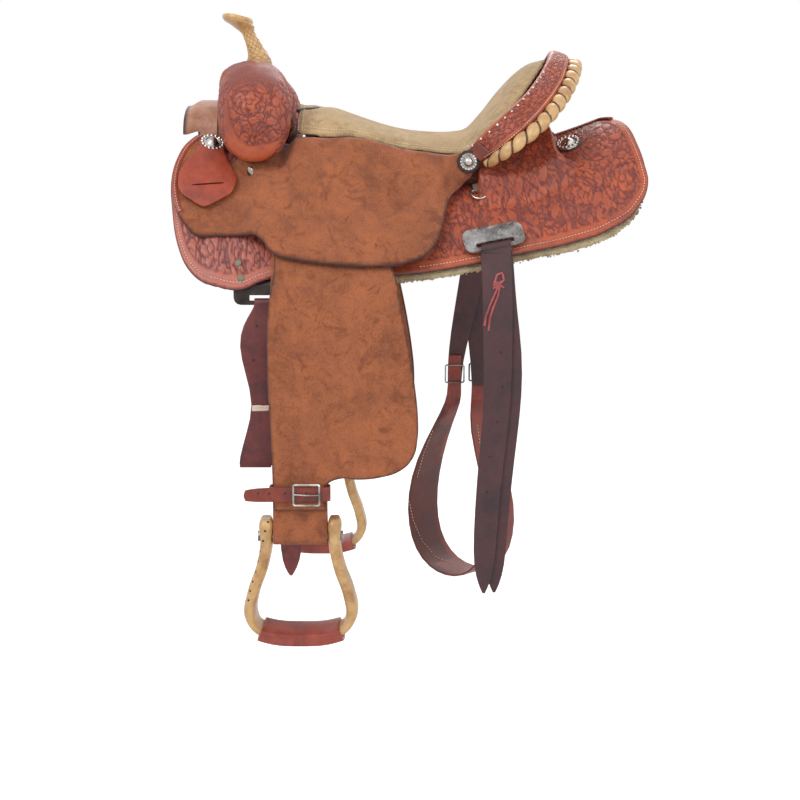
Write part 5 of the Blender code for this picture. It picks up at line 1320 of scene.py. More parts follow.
class Skirts:
    """Tooled skirts with their fleece, rope edge and stitching."""

    STITCH_IN = 0.0052
    HOUSING = 0.1112
    HOUSING_RISE = 0.0048
    BAND = 0.0105
    RELIEF = 0.0011

    def __init__(self):
        self.loop = outline(SKIRT_OUTLINE)
        self.jockey = outline(JOCKEY_OUTLINE)
        self.wool = outline(FLEECE_OUTLINE)
        self.floral = Floral(7, (-0.33, 0.0), (0.36, 0.22), 0.062)

    def build(self) -> None:
        """Make both sides."""
        for word, side in SIDES:
            def place(x, y):
                return flip(Back.point(x, y, self.lift(x, y)), -side)

            self._skirt(word, place)
            self._thread(word, place)
            self._fleece(word, side)
        self._rope()

    @classmethod
    def lift(cls, x: np.ndarray, y: np.ndarray) -> np.ndarray:
        """Height of the skirt's face, raised where its housing covers the bar."""
        fall = Bars.FALL_REAR + 0.022 * smoothstep((y - 0.086) / 0.012)
        over = Bars.rise(x, y, fall) * smoothstep((x - cls.HOUSING) / 0.004)
        return LAY.skirt + (LAY.bar_top + cls.HOUSING_RISE - LAY.skirt) * over

    def _skirt(self, word: str, place: Place) -> None:
        """The tooled skirt with its plain border and its seam."""
        shape = cut_panel(self.loop, 0.0019)
        bm, flat, depth = shape
        mask, height = self.floral.sample(flat)
        field = smoothstep((depth - self.BAND) / 0.0008)
        line = bell((depth - self.BAND) / 0.0007)
        mask = mask * field + (1.0 - field)
        height = height * field + 0.85 * (1.0 - field)
        mask *= 1.0 - 0.85 * line
        height -= line * 0.9
        # Painted sheen: the skirt's front is turned pale pink for light glancing off it.
        front = 1.0 - smoothstep((flat[:, 0] + 0.235) / 0.12)
        seam = bell((depth - self.STITCH_IN) / 0.0012)
        carry(bm, "tool", np.clip(mask, 0.0, 1.0))
        carry(bm, "painted_sheen", 0.6 * front)
        carry(bm, "edge", np.clip(1.0 - depth / 0.0022, 0.0, 1.0) * 0.9 + 0.25 * seam)
        relief = self.RELIEF * (height - 1.0) - seam * 0.0005 + rounding(depth, 0.002)
        obj = panel("skirt_tooled_" + word, shape, place, relief, LAY.skirt - 0.0006)
        finish_piece(obj, TOOLED, "root", ["skirt_" + word])

    def _thread(self, word: str, place: Place) -> None:
        """White stitches along the part of the rim that shows."""
        def seen(spots):
            inside, _ = depth_in(spots, self.jockey)
            return (inside < 0.001) & ((spots[:, 1] > 0.05) | (spots[:, 0] > 0.33))

        rows = []
        for run in border_line(self.loop, self.STITCH_IN, seen):
            spots, normals = on_panel(run, place)
            rows.append(stitches("row", spots, normals, lift=-0.0002))
        finish_piece(join("skirt_stitching_" + word, rows), WHITE, "root")

    def _fleece(self, word: str, side: float) -> None:
        """Curly shearling, thick enough to show below the skirt's edge."""
        shape = cut_panel(self.wool, 0.0042)
        flat = shape[1]

        def place(x, y):
            near = smoothstep((0.080 - np.abs(x + 0.183)) / 0.020)
            down = smoothstep((y - 0.150) / 0.020)
            lift = -2 * LAY.layer - 0.0048 * near * down
            return flip(Back.point(x, y, lift), -side)

        curl = (np.sin(flat[:, 0] * 1450 + 3 * np.sin(flat[:, 1] * 420))
                * np.sin(flat[:, 1] * 1630 + 3 * np.sin(flat[:, 0] * 390)))
        relief = -0.0006 + 0.0004 * curl
        obj = panel("fleece_lining_" + word, shape, place, relief, LAY.fleece - 0.006)
        subdivide(obj)
        curls = bpy.data.textures.new("curls_" + word, "CLOUDS")
        curls.noise_scale = 0.006
        curls.noise_depth = 2
        rough = obj.modifiers.new("curls", "DISPLACE")
        rough.texture = curls
        rough.strength = 0.0026
        rough.mid_level = 0.75
        finish_piece(obj, FLEECE, "root", ["fleece_" + word])
        self._tufts(word, side)

    def _tufts(self, word: str, side: float) -> None:
        """Loose curls of wool along the trimmed edge."""
        rng = np.random.default_rng(11)
        runs = border_line(self.wool, 0.0015,
                           lambda s: (s[:, 1] > 0.08) | (s[:, 0] > 0.30))
        spots = np.vstack([on_panel(run, lambda x, y: flip(
            Back.point(x, y, -0.0062), -side))[0] for run in runs])
        spots = np.repeat(spots, 2, 0)
        spots += rng.normal(0.0, 0.0014, spots.shape)
        axes = rng.normal(size=(len(spots), 3, 3))
        axes, _ = np.linalg.qr(axes)
        sizes = rng.uniform(0.0009, 0.0022, (len(spots), 3))
        obj = repeat("fleece_tufts_" + word, bead(5, 3), spots,
                     (axes[:, 0], axes[:, 1], axes[:, 2]), sizes)
        finish_piece(obj, FLEECE, "root")

    def _rope(self) -> None:
        """Twisted-rope edge along the top of the rear housing."""
        x = np.concatenate([np.linspace(0.232, 0.299, 60), np.linspace(0.302, 0.316, 20)])
        y = np.concatenate([np.full(60, 0.0095), np.linspace(0.0115, 0.034, 20)])
        for word, side in SIDES:
            line = flip(Back.point(x, y, self.lift(x, y) + 0.0010), -side)
            up = np.tile([0.0, side * 0.35, 0.94], (len(line), 1))
            spots, along, up = resample(line, up, 0.0052)
            turned = along * 0.62 + np.cross(up, along) * 0.78
            obj = repeat("rope_edge_" + word, bead(8, 6), spots,
                         (turned, np.cross(up, turned), up),
                         np.array([0.0050, 0.0025, 0.0024]))
            carry_whole(obj, "edge", 0.45)
            finish_piece(obj, RED, "root")


class Jockeys:
    """Roughout seat jockeys with their burnished edges and front borders."""

    def __init__(self):
        self.loop = outline(JOCKEY_OUTLINE)

    def build(self) -> None:
        """Make both sides."""
        for word, side in SIDES:
            def place(x, y):
                return flip(Back.point(x, y, JOCKEY.height(x, y) + LAY.jockey), -side)

            shape = cut_panel(self.loop, 0.0030)
            bm, flat, depth = shape
            seat_side = (flat[:, 1] < 0.135) & (flat[:, 0] > -0.135)
            edge = np.clip(1.0 - depth / 0.0030, 0.0, 1.0) * ~seat_side
            wear = (bell((flat[:, 0] - 0.035) / 0.05)
                    * bell((flat[:, 1] - 0.185) / 0.02) * 0.15)
            carry(bm, "edge", edge * 0.9 + wear)
            puff = 0.0006 * np.sin(flat[:, 0] * 46.0) * np.sin(flat[:, 1] * 60.0 + 1.0)
            relief = rounding(depth, 0.0028) + puff * smoothstep(depth / 0.02)
            obj = panel("seat_jockey_roughout_" + word, shape, place, relief,
                        LAY.jockey - 0.0004)
            finish_piece(obj, ROUGHOUT, "root", ["seat_jockey_" + word])
            self._front(word, place)

    def _front(self, word: str, place: Place) -> None:
        """Smooth stitched border on the jockey's front edge."""
        bands, rows = [], []
        for run in border_line(self.loop, 0.0038,
                               lambda s: (s[:, 0] < -0.292) & (s[:, 1] < 0.160)):
            spots, normals = on_panel(run, place)
            bands.append(tube("band", spots + normals * 0.0002, 0.0042, 10, 0.22,
                              normals))
            rows.append(stitches("row", spots, normals, lift=0.0012))
        band = join("front_border_" + word, bands)
        carry_whole(band, "edge", 0.15)
        finish_piece(band, RED, "root")
        finish_piece(join("front_stitching_" + word, rows), WHITE, "root")


class Fenders:
    """Roughout fenders, the leathers behind them and the hobble straps."""

    HOLES = [(px, 493.5) for px in (258.0, 269.0, 285.0, 306.0, 320.0)]

    def __init__(self):
        self.loop = outline(FENDER_OUTLINE)
        self.hang = Back.hang(LEG_X, LAY.fender_low, -0.150, 0.080)

    def build(self) -> None:
        """Make both sides."""
        for word, side in SIDES:
            body = "leather_" + word

            def place(x, z):
                y = self.hang(z) + LAY.fender
                return np.stack([x, side * y, z], -1)

            shape = cut_panel(self.loop, 0.0030)
            bm, flat, depth = shape
            edge = np.clip(1.0 - depth / 0.0028, 0.0, 1.0)
            carry(bm, "edge", edge * 0.9)
            wave = 0.0009 * np.sin(flat[:, 1] * 31.0 + flat[:, 0] * 12.0)
            relief = rounding(depth, 0.0026) + wave * smoothstep(depth / 0.02) - 0.0008
            obj = panel("fender_roughout_" + word, shape, place, relief,
                        LAY.fender - 0.0014)
            finish_piece(obj, ROUGHOUT, body, ["fender_" + word])
            dressed("stirrup_leather_" + word, ROUGHOUT, body, 0.0004, 0)
            self._hobble(word, side, body)

    def _hobble(self, word: str, side: float, body: str) -> None:
        """The hobble strap, its holes and the tongue across its buckle."""
        strap = dressed("hobble_strap_" + word, HOBBLE, body, 0.0006)
        tree = tree_of(strap) if side < 0 else tree_from(strap.data, -1.0)
        centre = np.array(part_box("hobble_buckle_" + word)).mean(0)
        y = centre[1]
        left, right = centre[0] - 0.020, centre[0] + 0.021
        bend = np.array([[left + 0.003, y, centre[2] + 0.0006],
                         [centre[0], y + side * 0.0014, centre[2]],
                         [right - 0.002, y + side * 0.0008, centre[2]]])
        tongue = tube("hobble_tongue_" + word, smooth_line(bend, 12), 0.0012, 8)
        finish_piece(tongue, SILVER, body)
        spots, ups = (flip(found, side) for found in Eye.picks(self.HOLES, tree))
        # Painted shade: the holes show as dark dimples.
        finish_piece(shaded_holes("hobble_holes_" + word, spots, ups, 0.0016), BLACK, body)


class Swell:
    """The fork's tooled cover, with its plain border."""

    STATIONS = np.array([
        (0.000, -0.267, -0.174, 0.034, 0.153), (0.030, -0.267, -0.173, 0.037, 0.152),
        (0.052, -0.266, -0.171, 0.028, 0.150), (0.066, -0.265, -0.167, 0.006, 0.148),
        (0.084, -0.263, -0.161, 0.0025, 0.144), (0.100, -0.262, -0.157, 0.0025, 0.140),
        (0.120, -0.260, -0.155, 0.012, 0.130), (0.136, -0.256, -0.157, 0.021, 0.119),
        (0.151, -0.247, -0.167, 0.042, 0.104), (0.163, -0.228, -0.186, 0.085, 0.086)])
    SQUARE = 2.3
    FIELD = [(228, 60), (284, 60), (291, 76), (299, 100), (300, 126), (285, 138),
             (268, 143), (250, 146), (239, 140), (231, 124), (226, 96)]
    RELIEF = 0.0012
    LAP = math.radians(48.0)

    def __init__(self):
        half = self.STATIONS
        y, front, rear, clear, top = np.vstack([half[:0:-1] * [-1, 1, 1, 1, 1], half]).T
        low = Back.height((front + rear) / 2, np.abs(y),
                          LAY.bar_top + LAY.layer) + clear - LAY.cover - LAY.touch
        self.table = smooth_line(np.column_stack(
            [(front + rear) / 2, y, top, low, (rear - front) / 2]), 181)

    def section(self, u: np.ndarray, v: np.ndarray) -> np.ndarray:
        """Outer face: u from the near end to the off end, v round the section."""
        t, past = capped(u, 0.07)
        shrink = np.cos(past * math.pi / 2)
        middle, y, top, low, half = along_line(self.table, t * (len(self.table) - 1)).T
        angle = 2.0 * math.pi * v - self.LAP
        x = middle + half * power_of(np.cos(angle), 2.0 / self.SQUARE) * shrink
        up = power_of(np.sin(angle), 2.0 / self.SQUARE)
        z = (top + low) / 2 + (top - low) / 2 * up * shrink
        y = y + np.sign(u - 0.5) * 0.004 * np.sin(past * math.pi / 2)
        return np.stack([x, y, z], 1)

    def build(self) -> None:
        """Make the cover."""
        bm, _ = grid((230, 150), self.section)
        spots, normals = outward(bm)
        floral = Floral(23, (-0.28, 0.0), (-0.14, 0.17), 0.066)
        floral_across = Floral(31, (-0.18, 0.0), (0.18, 0.17), 0.066)
        side_on = np.abs(normals[:, 1]) > np.abs(normals[:, 0])
        mask, height = floral.wrap(spots, normals)
        other, level = floral_across.wrap(spots, normals)
        mask, height = np.where(side_on, mask, other), np.where(side_on, height, level)
        near = np.column_stack([spots[:, 0], -np.abs(spots[:, 1]), spots[:, 2]])
        inset, _ = depth_in(Eye.pixels(near), np.array(self.FIELD))
        inset = np.where(side_on, inset, 3.0)
        mask, height = framed(mask, height, smoothstep(inset / 0.8), bell(inset / 0.8))
        carry(bm, "tool", mask)
        # Painted sheen: faces turned to the rear go pale pink, as light glancing off them.
        carry(bm, "painted_sheen", np.clip(0.35 * smoothstep((normals[:, 0] - 0.2) / 0.8), 0, 1))
        low = Back.height(spots[:, 0], np.clip(np.abs(spots[:, 1]), 0.045, 0.16),
                          LAY.bar_top) + 0.002
        carry(bm, "edge", 0.5 * (1.0 - smoothstep((spots[:, 2] - low) / 0.004)))
        move_to(bm, spots + normals * (self.RELIEF * (height - 0.9))[:, None])
        finish_piece(welded("swell_tooled", bm, 0.00005), TOOLED, "root",
                     ["swell_cover"])


class Horn:
    """Rawhide horn: a smooth cap and a braided neck."""

    RINGS = np.array([
        (-0.2110, 0.1465, -4, 0.0192, 0.0202), (-0.2115, 0.1531, -4, 0.0190, 0.0200),
        (-0.2130, 0.1610, 8, 0.0160, 0.0175), (-0.2165, 0.1700, 18, 0.0128, 0.0145),
        (-0.2205, 0.1800, 22, 0.0108, 0.0128), (-0.2250, 0.1900, 22, 0.0094, 0.0120),
        (-0.2285, 0.1985, 14, 0.0102, 0.0130), (-0.2345, 0.2050, -2, 0.0165, 0.0200),
        (-0.2420, 0.2115, -8, 0.0220, 0.0272), (-0.2432, 0.2165, -8, 0.0225, 0.0282),
        (-0.2436, 0.2200, -8, 0.0190, 0.0235), (-0.2440, 0.2218, -8, 0.0100, 0.0125)])
    STRANDS = 8
    RISE = 0.0082

    def build(self) -> None:
        """Make the wrap with its braid in relief."""
        table = smooth_line(np.insert(self.RINGS, 2, 0.0, axis=1), 170)
        table = np.vstack([table] + [table[-1] * [1, 1, 1, 1, share, share]
                                     for share in (0.5, 0.02)])
        last = len(table) - 1

        def place(u, v):
            x, z, _, lean, long, wide = along_line(table, u * last).T
            lean = np.radians(lean)
            angle = 2.0 * math.pi * v
            along = np.cos(angle) * long
            return np.stack([x + np.cos(lean) * along, wide * np.sin(angle),
                             z + np.sin(lean) * along], 1)

        bm, uv = grid((300, 240), place)
        spots, normals = outward(bm)
        height = along_line(table, uv[:, 0] * last)[:, 1]
        turn = uv[:, 1] * self.STRANDS
        climb = (height - 0.153) / self.RISE
        a, b = turn + climb, turn - climb
        over = (np.floor(a) + np.floor(b)) % 2
        strand = np.where(over > 0, a % 1.0, b % 1.0)
        cross = np.where(over > 0, b % 1.0, a % 1.0)
        crown, dip = (np.sqrt(np.clip(1.0 - (2.0 * share - 1.0) ** 2, 0, 1))
                      for share in (strand, cross))
        braid = crown * (0.45 + 0.55 * dip)
        share = 1.0 - smoothstep((height - 0.1955) / 0.006)
        fade = share * smoothstep((height - 0.1535) / 0.001)
        level = braid * fade + 0.9 * (1.0 - fade)
        # The braid's level also paints shade into the grooves between the strands.
        carry(bm, "tool", np.clip(level * 1.1, 0.0, 1.0))
        wear = smoothstep((height - 0.2195) / 0.002) * 0.12
        carry(bm, "edge", wear + 0.25 * (1.0 - smoothstep((height - 0.1535) / 0.002)))
        move_to(bm, spots + normals * (0.0020 * (level - 0.85))[:, None])
        finish_piece(welded("horn_rawhide", bm, 0.00003), RAWHIDE, "root",
                     ["horn_wrap", "horn_core"])


class Seat:
    """The padded suede seat, its sewn rows and its front rim."""

    CAP = 0.0035
    INSETS = (0.0065, 0.0125)
    FRAMES = 20

    def __init__(self):
        self.rows = smooth_line(SEAT_ROWS[:, [0, 3, 1, 2, 4]], 141)

    def top(self, u: np.ndarray, v: np.ndarray) -> np.ndarray:
        """Upper face: u from front to rear, v across."""
        x, crown, half, sweep, edge = along_line(self.rows, u * (len(self.rows) - 1)).T
        across = 2.0 * v - 1.0
        bend = 0.77 * across ** 2 + 0.23 * across ** 6
        return np.stack([x - sweep * bend, half * across,
                         crown - (crown - edge) * across ** 2], 1)

    def build(self) -> None:
        """Make the pad and sew it."""
        bm, uv = grid((120, 90), self.top)
        spots, normals = outward(bm, coordinates(bm) - [0.0, 0.0, 1.0])
        along, across = np.abs(2.0 * uv - 1.0).T
        depth = 1.0 - 0.45 * np.maximum(across ** 6, along ** 8)
        move_to(bm, spots - normals * 0.0008)
        pad = as_piece("seat_padded", bm)
        group = pad.vertex_groups.new(name="depth")
        for index, share in enumerate(depth):
            group.add([index], float(share), "REPLACE")
        thicken(pad, LAY.seat - 0.0016, group.name)
        self._apply(pad, "thickness")
        self._fill(pad)
        subdivide(pad)
        self._shade(pad)
        finish_piece(pad, SUEDE, "root", ["seat"])
        self._sew(pad)

    def _fill(self, pad: bpy.types.Object) -> None:
        """Let the pad swell as its foam does, within its cap."""
        remesh = pad.modifiers.new("remesh", "REMESH")
        remesh.mode = "VOXEL"
        remesh.voxel_size = 0.0045
        self._apply(pad, "remesh")
        rest = spots_of(pad)
        cloth = pad.modifiers.new("cloth", "CLOTH")
        foam = cloth.settings
        foam.use_pressure = True
        foam.uniform_pressure_force = 4.0
        foam.effector_weights.gravity = 0.0
        foam.quality = 5
        cloth.point_cache.frame_start = 1
        cloth.point_cache.frame_end = self.FRAMES
        scene = bpy.context.scene
        for step in range(1, self.FRAMES + 1):
            scene.frame_set(step)
        self._apply(pad, "cloth")
        scene.frame_set(1)
        shift = spots_of(pad) - rest
        far = np.linalg.norm(shift, axis=1)
        limit = np.minimum(1.0, self.CAP / np.maximum(far, 1e-9))
        spots = rest + shift * limit[:, None]
        pad.data.vertices.foreach_set("co", spots.ravel())
        pad.data.update()

    @staticmethod
    def _apply(obj: bpy.types.Object, name: str) -> None:
        """Make a modifier's result the piece's own mesh."""
        graph = bpy.context.evaluated_depsgraph_get()
        mesh = bpy.data.meshes.new_from_object(obj.evaluated_get(graph))
        obj.modifiers.remove(obj.modifiers[name])
        obj.data = mesh

    @staticmethod
    def _shade(pad: bpy.types.Object) -> None:
        """Darken the front, and the sides by the sewn rims behind the middle."""
        x, y, _ = spots_of(pad).T
        front = np.clip((-0.125 - x) / 0.03, 0.0, 1.0)
        dish = bell((x - 0.06) / 0.06) * bell((np.abs(y) - 0.10) / 0.03)
        carry_whole(pad, "edge", 0.40 * front + 0.22 * dish)
        pad.data.shade_smooth()

    def _sew(self, pad: bpy.types.Object) -> None:
        """Double rows of cream thread along the sides and down the front."""
        tree = tree_of(pad)
        for word, side in SIDES:
            rows = []
            for inset in self.INSETS:
                u = np.linspace(0.035, 0.86, 160)
                half = along_line(self.rows, u * (len(self.rows) - 1))[:, 2]
                rows.append((u, 0.5 + 0.5 * side * (1.0 - inset / half)))
                v = np.linspace(0.30, 0.955, 50)
                rows.append((np.full(50, inset * 2.3), 0.5 + 0.5 * side * v))
            made = []
            for u, v in rows:
                found = [tree.find_nearest(Vector(p)) for p in self.top(u, v)]
                spots, ups = (np.array([f[k][:] for f in found]) for k in (0, 1))
                made.append(stitches("row", spots, ups, 0.0042, 0.0031, 0.0015, 0.0003))
            finish_piece(join("seat_stitching_" + word, made), CREAM, "root")
        v = np.linspace(0.20, 0.80, 60)
        u = 0.004 + 0.085 * np.clip(1.0 - ((v - 0.5) / 0.3) ** 2, 0.0, 1.0)
        rim = tube("seat_front_rim", self.top(u, v), 0.0030, 10)
        carry_whole(rim, "edge", 0.1)
        finish_piece(rim, BLACK, "root")


class Cantle:
    """The cantle's tooled roll, its rawhide lacing, spots and back."""

    SEAM = [(0.2205, 0.000, 0.1640), (0.2125, 0.050, 0.1470), (0.1945, 0.090, 0.1190),
            (0.1700, 0.125, 0.0900), (0.1430, 0.1410, 0.0660), (0.1170, 0.1390, 0.0420),
            (0.0965, 0.1250, 0.0190)]
    BIND = [(0.2605, 0.000, 0.1505), (0.2545, 0.0575, 0.1350), (0.2400, 0.1015, 0.1065),
            (0.2155, 0.1415, 0.0735), (0.1870, 0.1640, 0.0445), (0.1525, 0.1645, 0.0190),
            (0.1220, 0.1410, -0.0020)]
    BIND_R = 0.0080
    THICK = 0.008
    CROWN = 0.0062
    LOBES = 27
    FACE = 0.6
    BORDER = 0.0068
    SPOTS = [(505, 118), (512, 111.5), (518, 105.5), (523.5, 99.5), (528.5, 94),
             (533, 88), (537, 82.5), (540.5, 77.5), (543.5, 72.5), (497.5, 125),
             (489.5, 132), (481, 139), (472.5, 146)]
    EDGE = [(565.5, 68), (562, 79), (552, 94.5), (540.5, 109), (521, 129), (510, 138.5),
            (498, 148.5), (484, 157.5)]

    def __init__(self):
        self.seam, self.bind = (
            smooth_line([(x, -y, z) for x, y, z in half[:0:-1]] + half, 241)
            for half in (self.SEAM, self.BIND))
        self.outer = self.bind - unit(self.bind - self.seam) * (self.BIND_R + LAY.touch)

    @staticmethod
    def _at(line: np.ndarray, u: np.ndarray) -> np.ndarray:
        """Points at a share of a line's way."""
        return along_line(line, u * (len(line) - 1))

    def _step(self, line: np.ndarray, u: np.ndarray, reach: float) -> np.ndarray:
        """From a little behind each point to a little ahead of it."""
        return (self._at(line, np.minimum(1, u + reach))
                - self._at(line, np.maximum(0, u - reach)))

    def section(self, u: np.ndarray, v: np.ndarray) -> np.ndarray:
        """The roll's skin: u along the rim, v round the section."""
        a, b = self._at(self.seam, u), self._at(self.outer, u)
        up = unit(np.cross(self._step(self.seam, u, 0.01), b - a))
        up *= np.sign(up[:, 2])[:, None]
        end = 1.0 - np.abs(2.0 * u - 1.0) ** 6
        face = v < self.FACE
        w = np.where(face, v / self.FACE, (1.0 - v) / (1.0 - self.FACE))
        w_low = 0.03 + 0.94 * w
        dome = np.sqrt(np.clip(1.0 - (2.0 * w - 1.0) ** 4, 0, 1))
        thick = self.THICK * (0.5 + 0.5 * end) / 2
        rise = np.where(face, dome * (thick + self.CROWN * end * 0.85), -dome * thick * 0.9)
        return a + (b - a) * w_low[:, None] + up * rise[:, None]

    def build(self) -> None:
        """Make the roll, lacing, spots, stitching and back."""
        bm, uv = grid((330, 66), self.section)
        middle = (self.seam + self.outer) / 2
        spots, normals = outward(bm, self._at(middle, uv[:, 0]))
        length = lengths(middle)
        width = np.linalg.norm(self.outer - self.seam, axis=1)
        s, wide = self._at(np.column_stack([length, width]), uv[:, 0]).T
        share = np.clip(uv[:, 1] / self.FACE, 0.0, 1.0)
        face = uv[:, 1] < self.FACE
        floral = Floral(41, (0.0, -0.01), (length[-1], 0.05), 0.040)
        mask, height = floral.sample(np.stack([s, share * wide], 1))
        gap = np.minimum(share, 1.0 - share) * wide
        field = smoothstep((gap - self.BORDER) / 0.0008) * face
        line = bell((gap - self.BORDER) / 0.0007) * face
        mask, height = framed(mask, height, field, line)
        carry(bm, "tool", mask)
        carry(bm, "edge", 0.4 * np.clip(1.0 - gap / 0.002, 0, 1) + 0.15 * ~face)
        move_to(bm, spots + normals * (0.0010 * (height - 0.9))[:, None])
        obj = welded("cantle_roll_tooled", bm, 0.00003)
        finish_piece(obj, TOOLED, "root", ["cantle_roll"])
        tree = tree_of(obj)
        self._lacing()
        for add in (self._spots, self._thread):
            for word, side in SIDES:
                add(tree, word, side)
        dressed("cantle_back", RED, "root", 0.0006)

    def _lacing(self) -> None:
        """Rawhide lace, whipped round the rim in slanted lobes."""
        def lobe(u, v):
            return np.abs(np.sin(math.pi * (u * self.LOBES + v)))

        def place(u, v):
            line = self._at(self.bind, u)
            step = unit(self._step(self.bind, u, 0.006))
            out = line - self._at(self.seam, u)
            out = unit(out - step * (out * step).sum(1)[:, None])
            aside = np.cross(step, out)
            angle = 2.0 * math.pi * v
            end = 1.0 - 0.45 * np.abs(2.0 * u - 1.0) ** 10
            radius = self.BIND_R * (0.62 + 0.62 * lobe(u, v) ** 0.5) * end
            return line + (out * np.cos(angle)[:, None] * 1.15
                           + aside * np.sin(angle)[:, None] * 0.85) * radius[:, None]

        bm, uv = grid((900, 40), place)
        # Painted shade in the grooves between the wraps.
        carry(bm, "tool", smoothstep((lobe(*uv.T) - 0.10) / 0.45))
        finish_piece(welded("cantle_lacing", bm, 0.00003), RAWHIDE, "root",
                     ["cantle_binding"])

    def _spots(self, tree: BVHTree, word: str, side: float) -> None:
        """Silver spots along the roll."""
        at, up = (flip(found, side) for found in Eye.picks(self.SPOTS, tree))
        obj = studs("cantle_spots_" + word, bead(12, 8), at + up * 0.0002, up,
                    (0.6, 0.0, 0.8), (0.0020, 0.0020, 0.0014))
        finish_piece(obj, SILVER, "root")

    def _thread(self, tree: BVHTree, word: str, side: float) -> None:
        """White stitches beside the lacing."""
        at, up = (flip(found, side) for found in Eye.line(self.EDGE, tree))
        finish_piece(stitches("cantle_stitching_" + word, at, up, 0.0042), WHITE, "root")


class Liner:
    """The gullet's flared lip."""

    FRONT = -0.317
    TOP = 0.097
    HALF = 0.064
    WALL = 0.007
    FLARE = 0.010
    FALL = 0.006

    def build(self) -> None:
        """Make the lip with its dark rolled edge."""
        rear = Swell.STATIONS[0, 1] - LAY.touch

        def way(u):
            return 1.0 - np.abs(2.0 * u - 1.0)

        def place(u, v):
            face = u < 0.5
            t = way(u)
            x = self.FRONT + (rear - self.FRONT) * t
            ahead = 1.0 - smoothstep(t / 0.45)
            half = self.HALF + self.FLARE * ahead
            foot = Back.height(x, half - self.WALL, LAY.skirt + 2 * LAY.layer)
            foot = foot - self.FALL * ahead
            rise = foot + (self.TOP - foot) * np.sin(math.pi * v) * (1.0 - 0.16 * ahead)
            inset = self.WALL * (0.25 + 0.75 * smoothstep(t / 0.3)) * ~face
            angle = math.pi * v
            return np.stack([x, (half - inset) * np.cos(angle),
                             rise - inset * np.sin(angle)], 1)

        bm, uv = grid((60, 80), place)
        carry(bm, "edge", np.clip(1.4 - way(uv[:, 0]) / 0.10, 0.0, 1.0))
        finish_piece(welded("gullet_lip", bm, 0.00005, 60.0), LINER, "root",
                     ["gullet_liner"])


class Silver:
    """Conchos, dees, plates, screws and rivets."""

    BEADS = 16
    PROFILE = np.array([
        (0.0, 0.94), (0.16, 0.92), (0.34, 0.80), (0.50, 0.56), (0.56, 0.46),
        (0.60, 0.52), (0.64, 0.52), (0.68, 0.44), (0.78, 0.44), (0.90, 0.40),
        (0.97, 0.28), (1.0, 0.05), (0.98, 0.0), (0.5, 0.0), (0.0, 0.0)])
    ROSETTES = {"front": (0.0215, RED), "corner": (0.0165, DARK), "rear": (0.0205, DARK)}
    SCREWS = [((250.0, 171.5), 0.0070, SILVER), ((238.0, 263.0), 0.0052, VERDIGRIS),
              ((241.0, 278.0), 0.0052, VERDIGRIS)]

    def build(self) -> None:
        """Make every metal piece on the body."""
        for word, side in SIDES:
            for kind in self.ROSETTES:
                self._concho(kind, word)
            dressed("rear_rigging_plate_" + word, ENGRAVED, "root", 0.0011, 1, 40.0)
            dressed("dee_tab_" + word, GREY, "root", 0.0006)
            dressed("dee_ring_" + word, SILVER, "dee_" + word, 0.0002, 1, 80.0)
            dressed("strap_keeper_" + word, RED, "keeper_" + word, 0.0007, 1, 62.0)
            self._fixings(word, side)

    @staticmethod
    def _disc(centre: np.ndarray, axes: np.ndarray, r, angle, h) -> np.ndarray:
        """Points at a radius, an angle and a height over a disc."""
        return (centre + np.outer(r * np.cos(angle), axes[0])
                + np.outer(r * np.sin(angle), axes[1]) + np.outer(h, axes[2]))

    def _concho(self, kind: str, word: str) -> None:
        """A domed centre in a beaded, ringed rim, on its rosette."""
        node = "concho_{}_{}".format(kind, word)
        centre, axes, radius, thick = disc_of(node)
        foot = centre - axes[2] * thick / 2
        last = len(self.PROFILE) - 1

        def place(u, v):
            r, h = along_line(self.PROFILE, u * last).T
            return self._disc(foot, axes, r * radius, 2.0 * math.pi * v, h * thick)

        bm, _ = grid((84, 72), place)
        finish_piece(welded("concho_{}_dome_{}".format(kind, word), bm, 0.00002, 40.0),
                     SILVER, "root", [node])
        turn = np.linspace(0, 2 * math.pi, self.BEADS, endpoint=False)
        ring = self._disc(centre, axes, radius * 0.86, turn,
                          np.full(self.BEADS, -thick * 0.10))
        beads = repeat("concho_{}_beads_{}".format(kind, word), bead(12, 8), ring,
                       tuple(np.tile(a, (self.BEADS, 1)) for a in axes),
                       radius * 0.155 * np.array([1.0, 1.0, 0.7]))
        finish_piece(beads, SILVER, "root")
        self._rosette(kind, word, foot, axes)

    def _rosette(self, kind: str, word: str, foot: np.ndarray, axes: np.ndarray) -> None:
        """A scalloped leather rosette under a concho."""
        radius, finish = self.ROSETTES[kind]

        def place(u, v):
            angle = 2.0 * math.pi * v
            scallop = 0.97 + 0.055 * np.abs(np.cos(angle * 6))
            face = u < 0.7
            r = np.where(face, u / 0.7, 1.0 - (u - 0.7) / 0.3 * 0.4)
            h = np.where(face, 0.0004 * (1 - np.clip(r * 8 - 7, 0, 1) ** 2), -0.0003)
            return self._disc(foot, axes, r * scallop * radius, angle, h)

        bm, uv = grid((24, 120), place)
        carry(bm, "edge", np.clip(1.0 - np.abs(uv[:, 0] - 0.7) / 0.12, 0, 1) * 0.9)
        finish_piece(welded("rosette_{}_{}".format(kind, word), bm, 0.00002, 60.0),
                     finish, "root")

    def _fixings(self, word: str, side: float) -> None:
        """The screw by the fork and the two rivets on the skirt."""
        jockey = tree_of(bpy.data.objects["seat_jockey_roughout_near"])
        skirt = tree_of(bpy.data.objects["skirt_tooled_near"])
        for index, (pixel, radius, finish) in enumerate(self.SCREWS):
            at, up = (flip(found, side)
                      for found in Eye.picks([pixel], skirt if index else jockey))
            obj = studs("fixing_{}_{}".format(index, word), bead(20, 12), at, up,
                        (0.0, 0.0, 1.0), (radius, radius, 0.0022))
            finish_piece(obj, finish, "root")


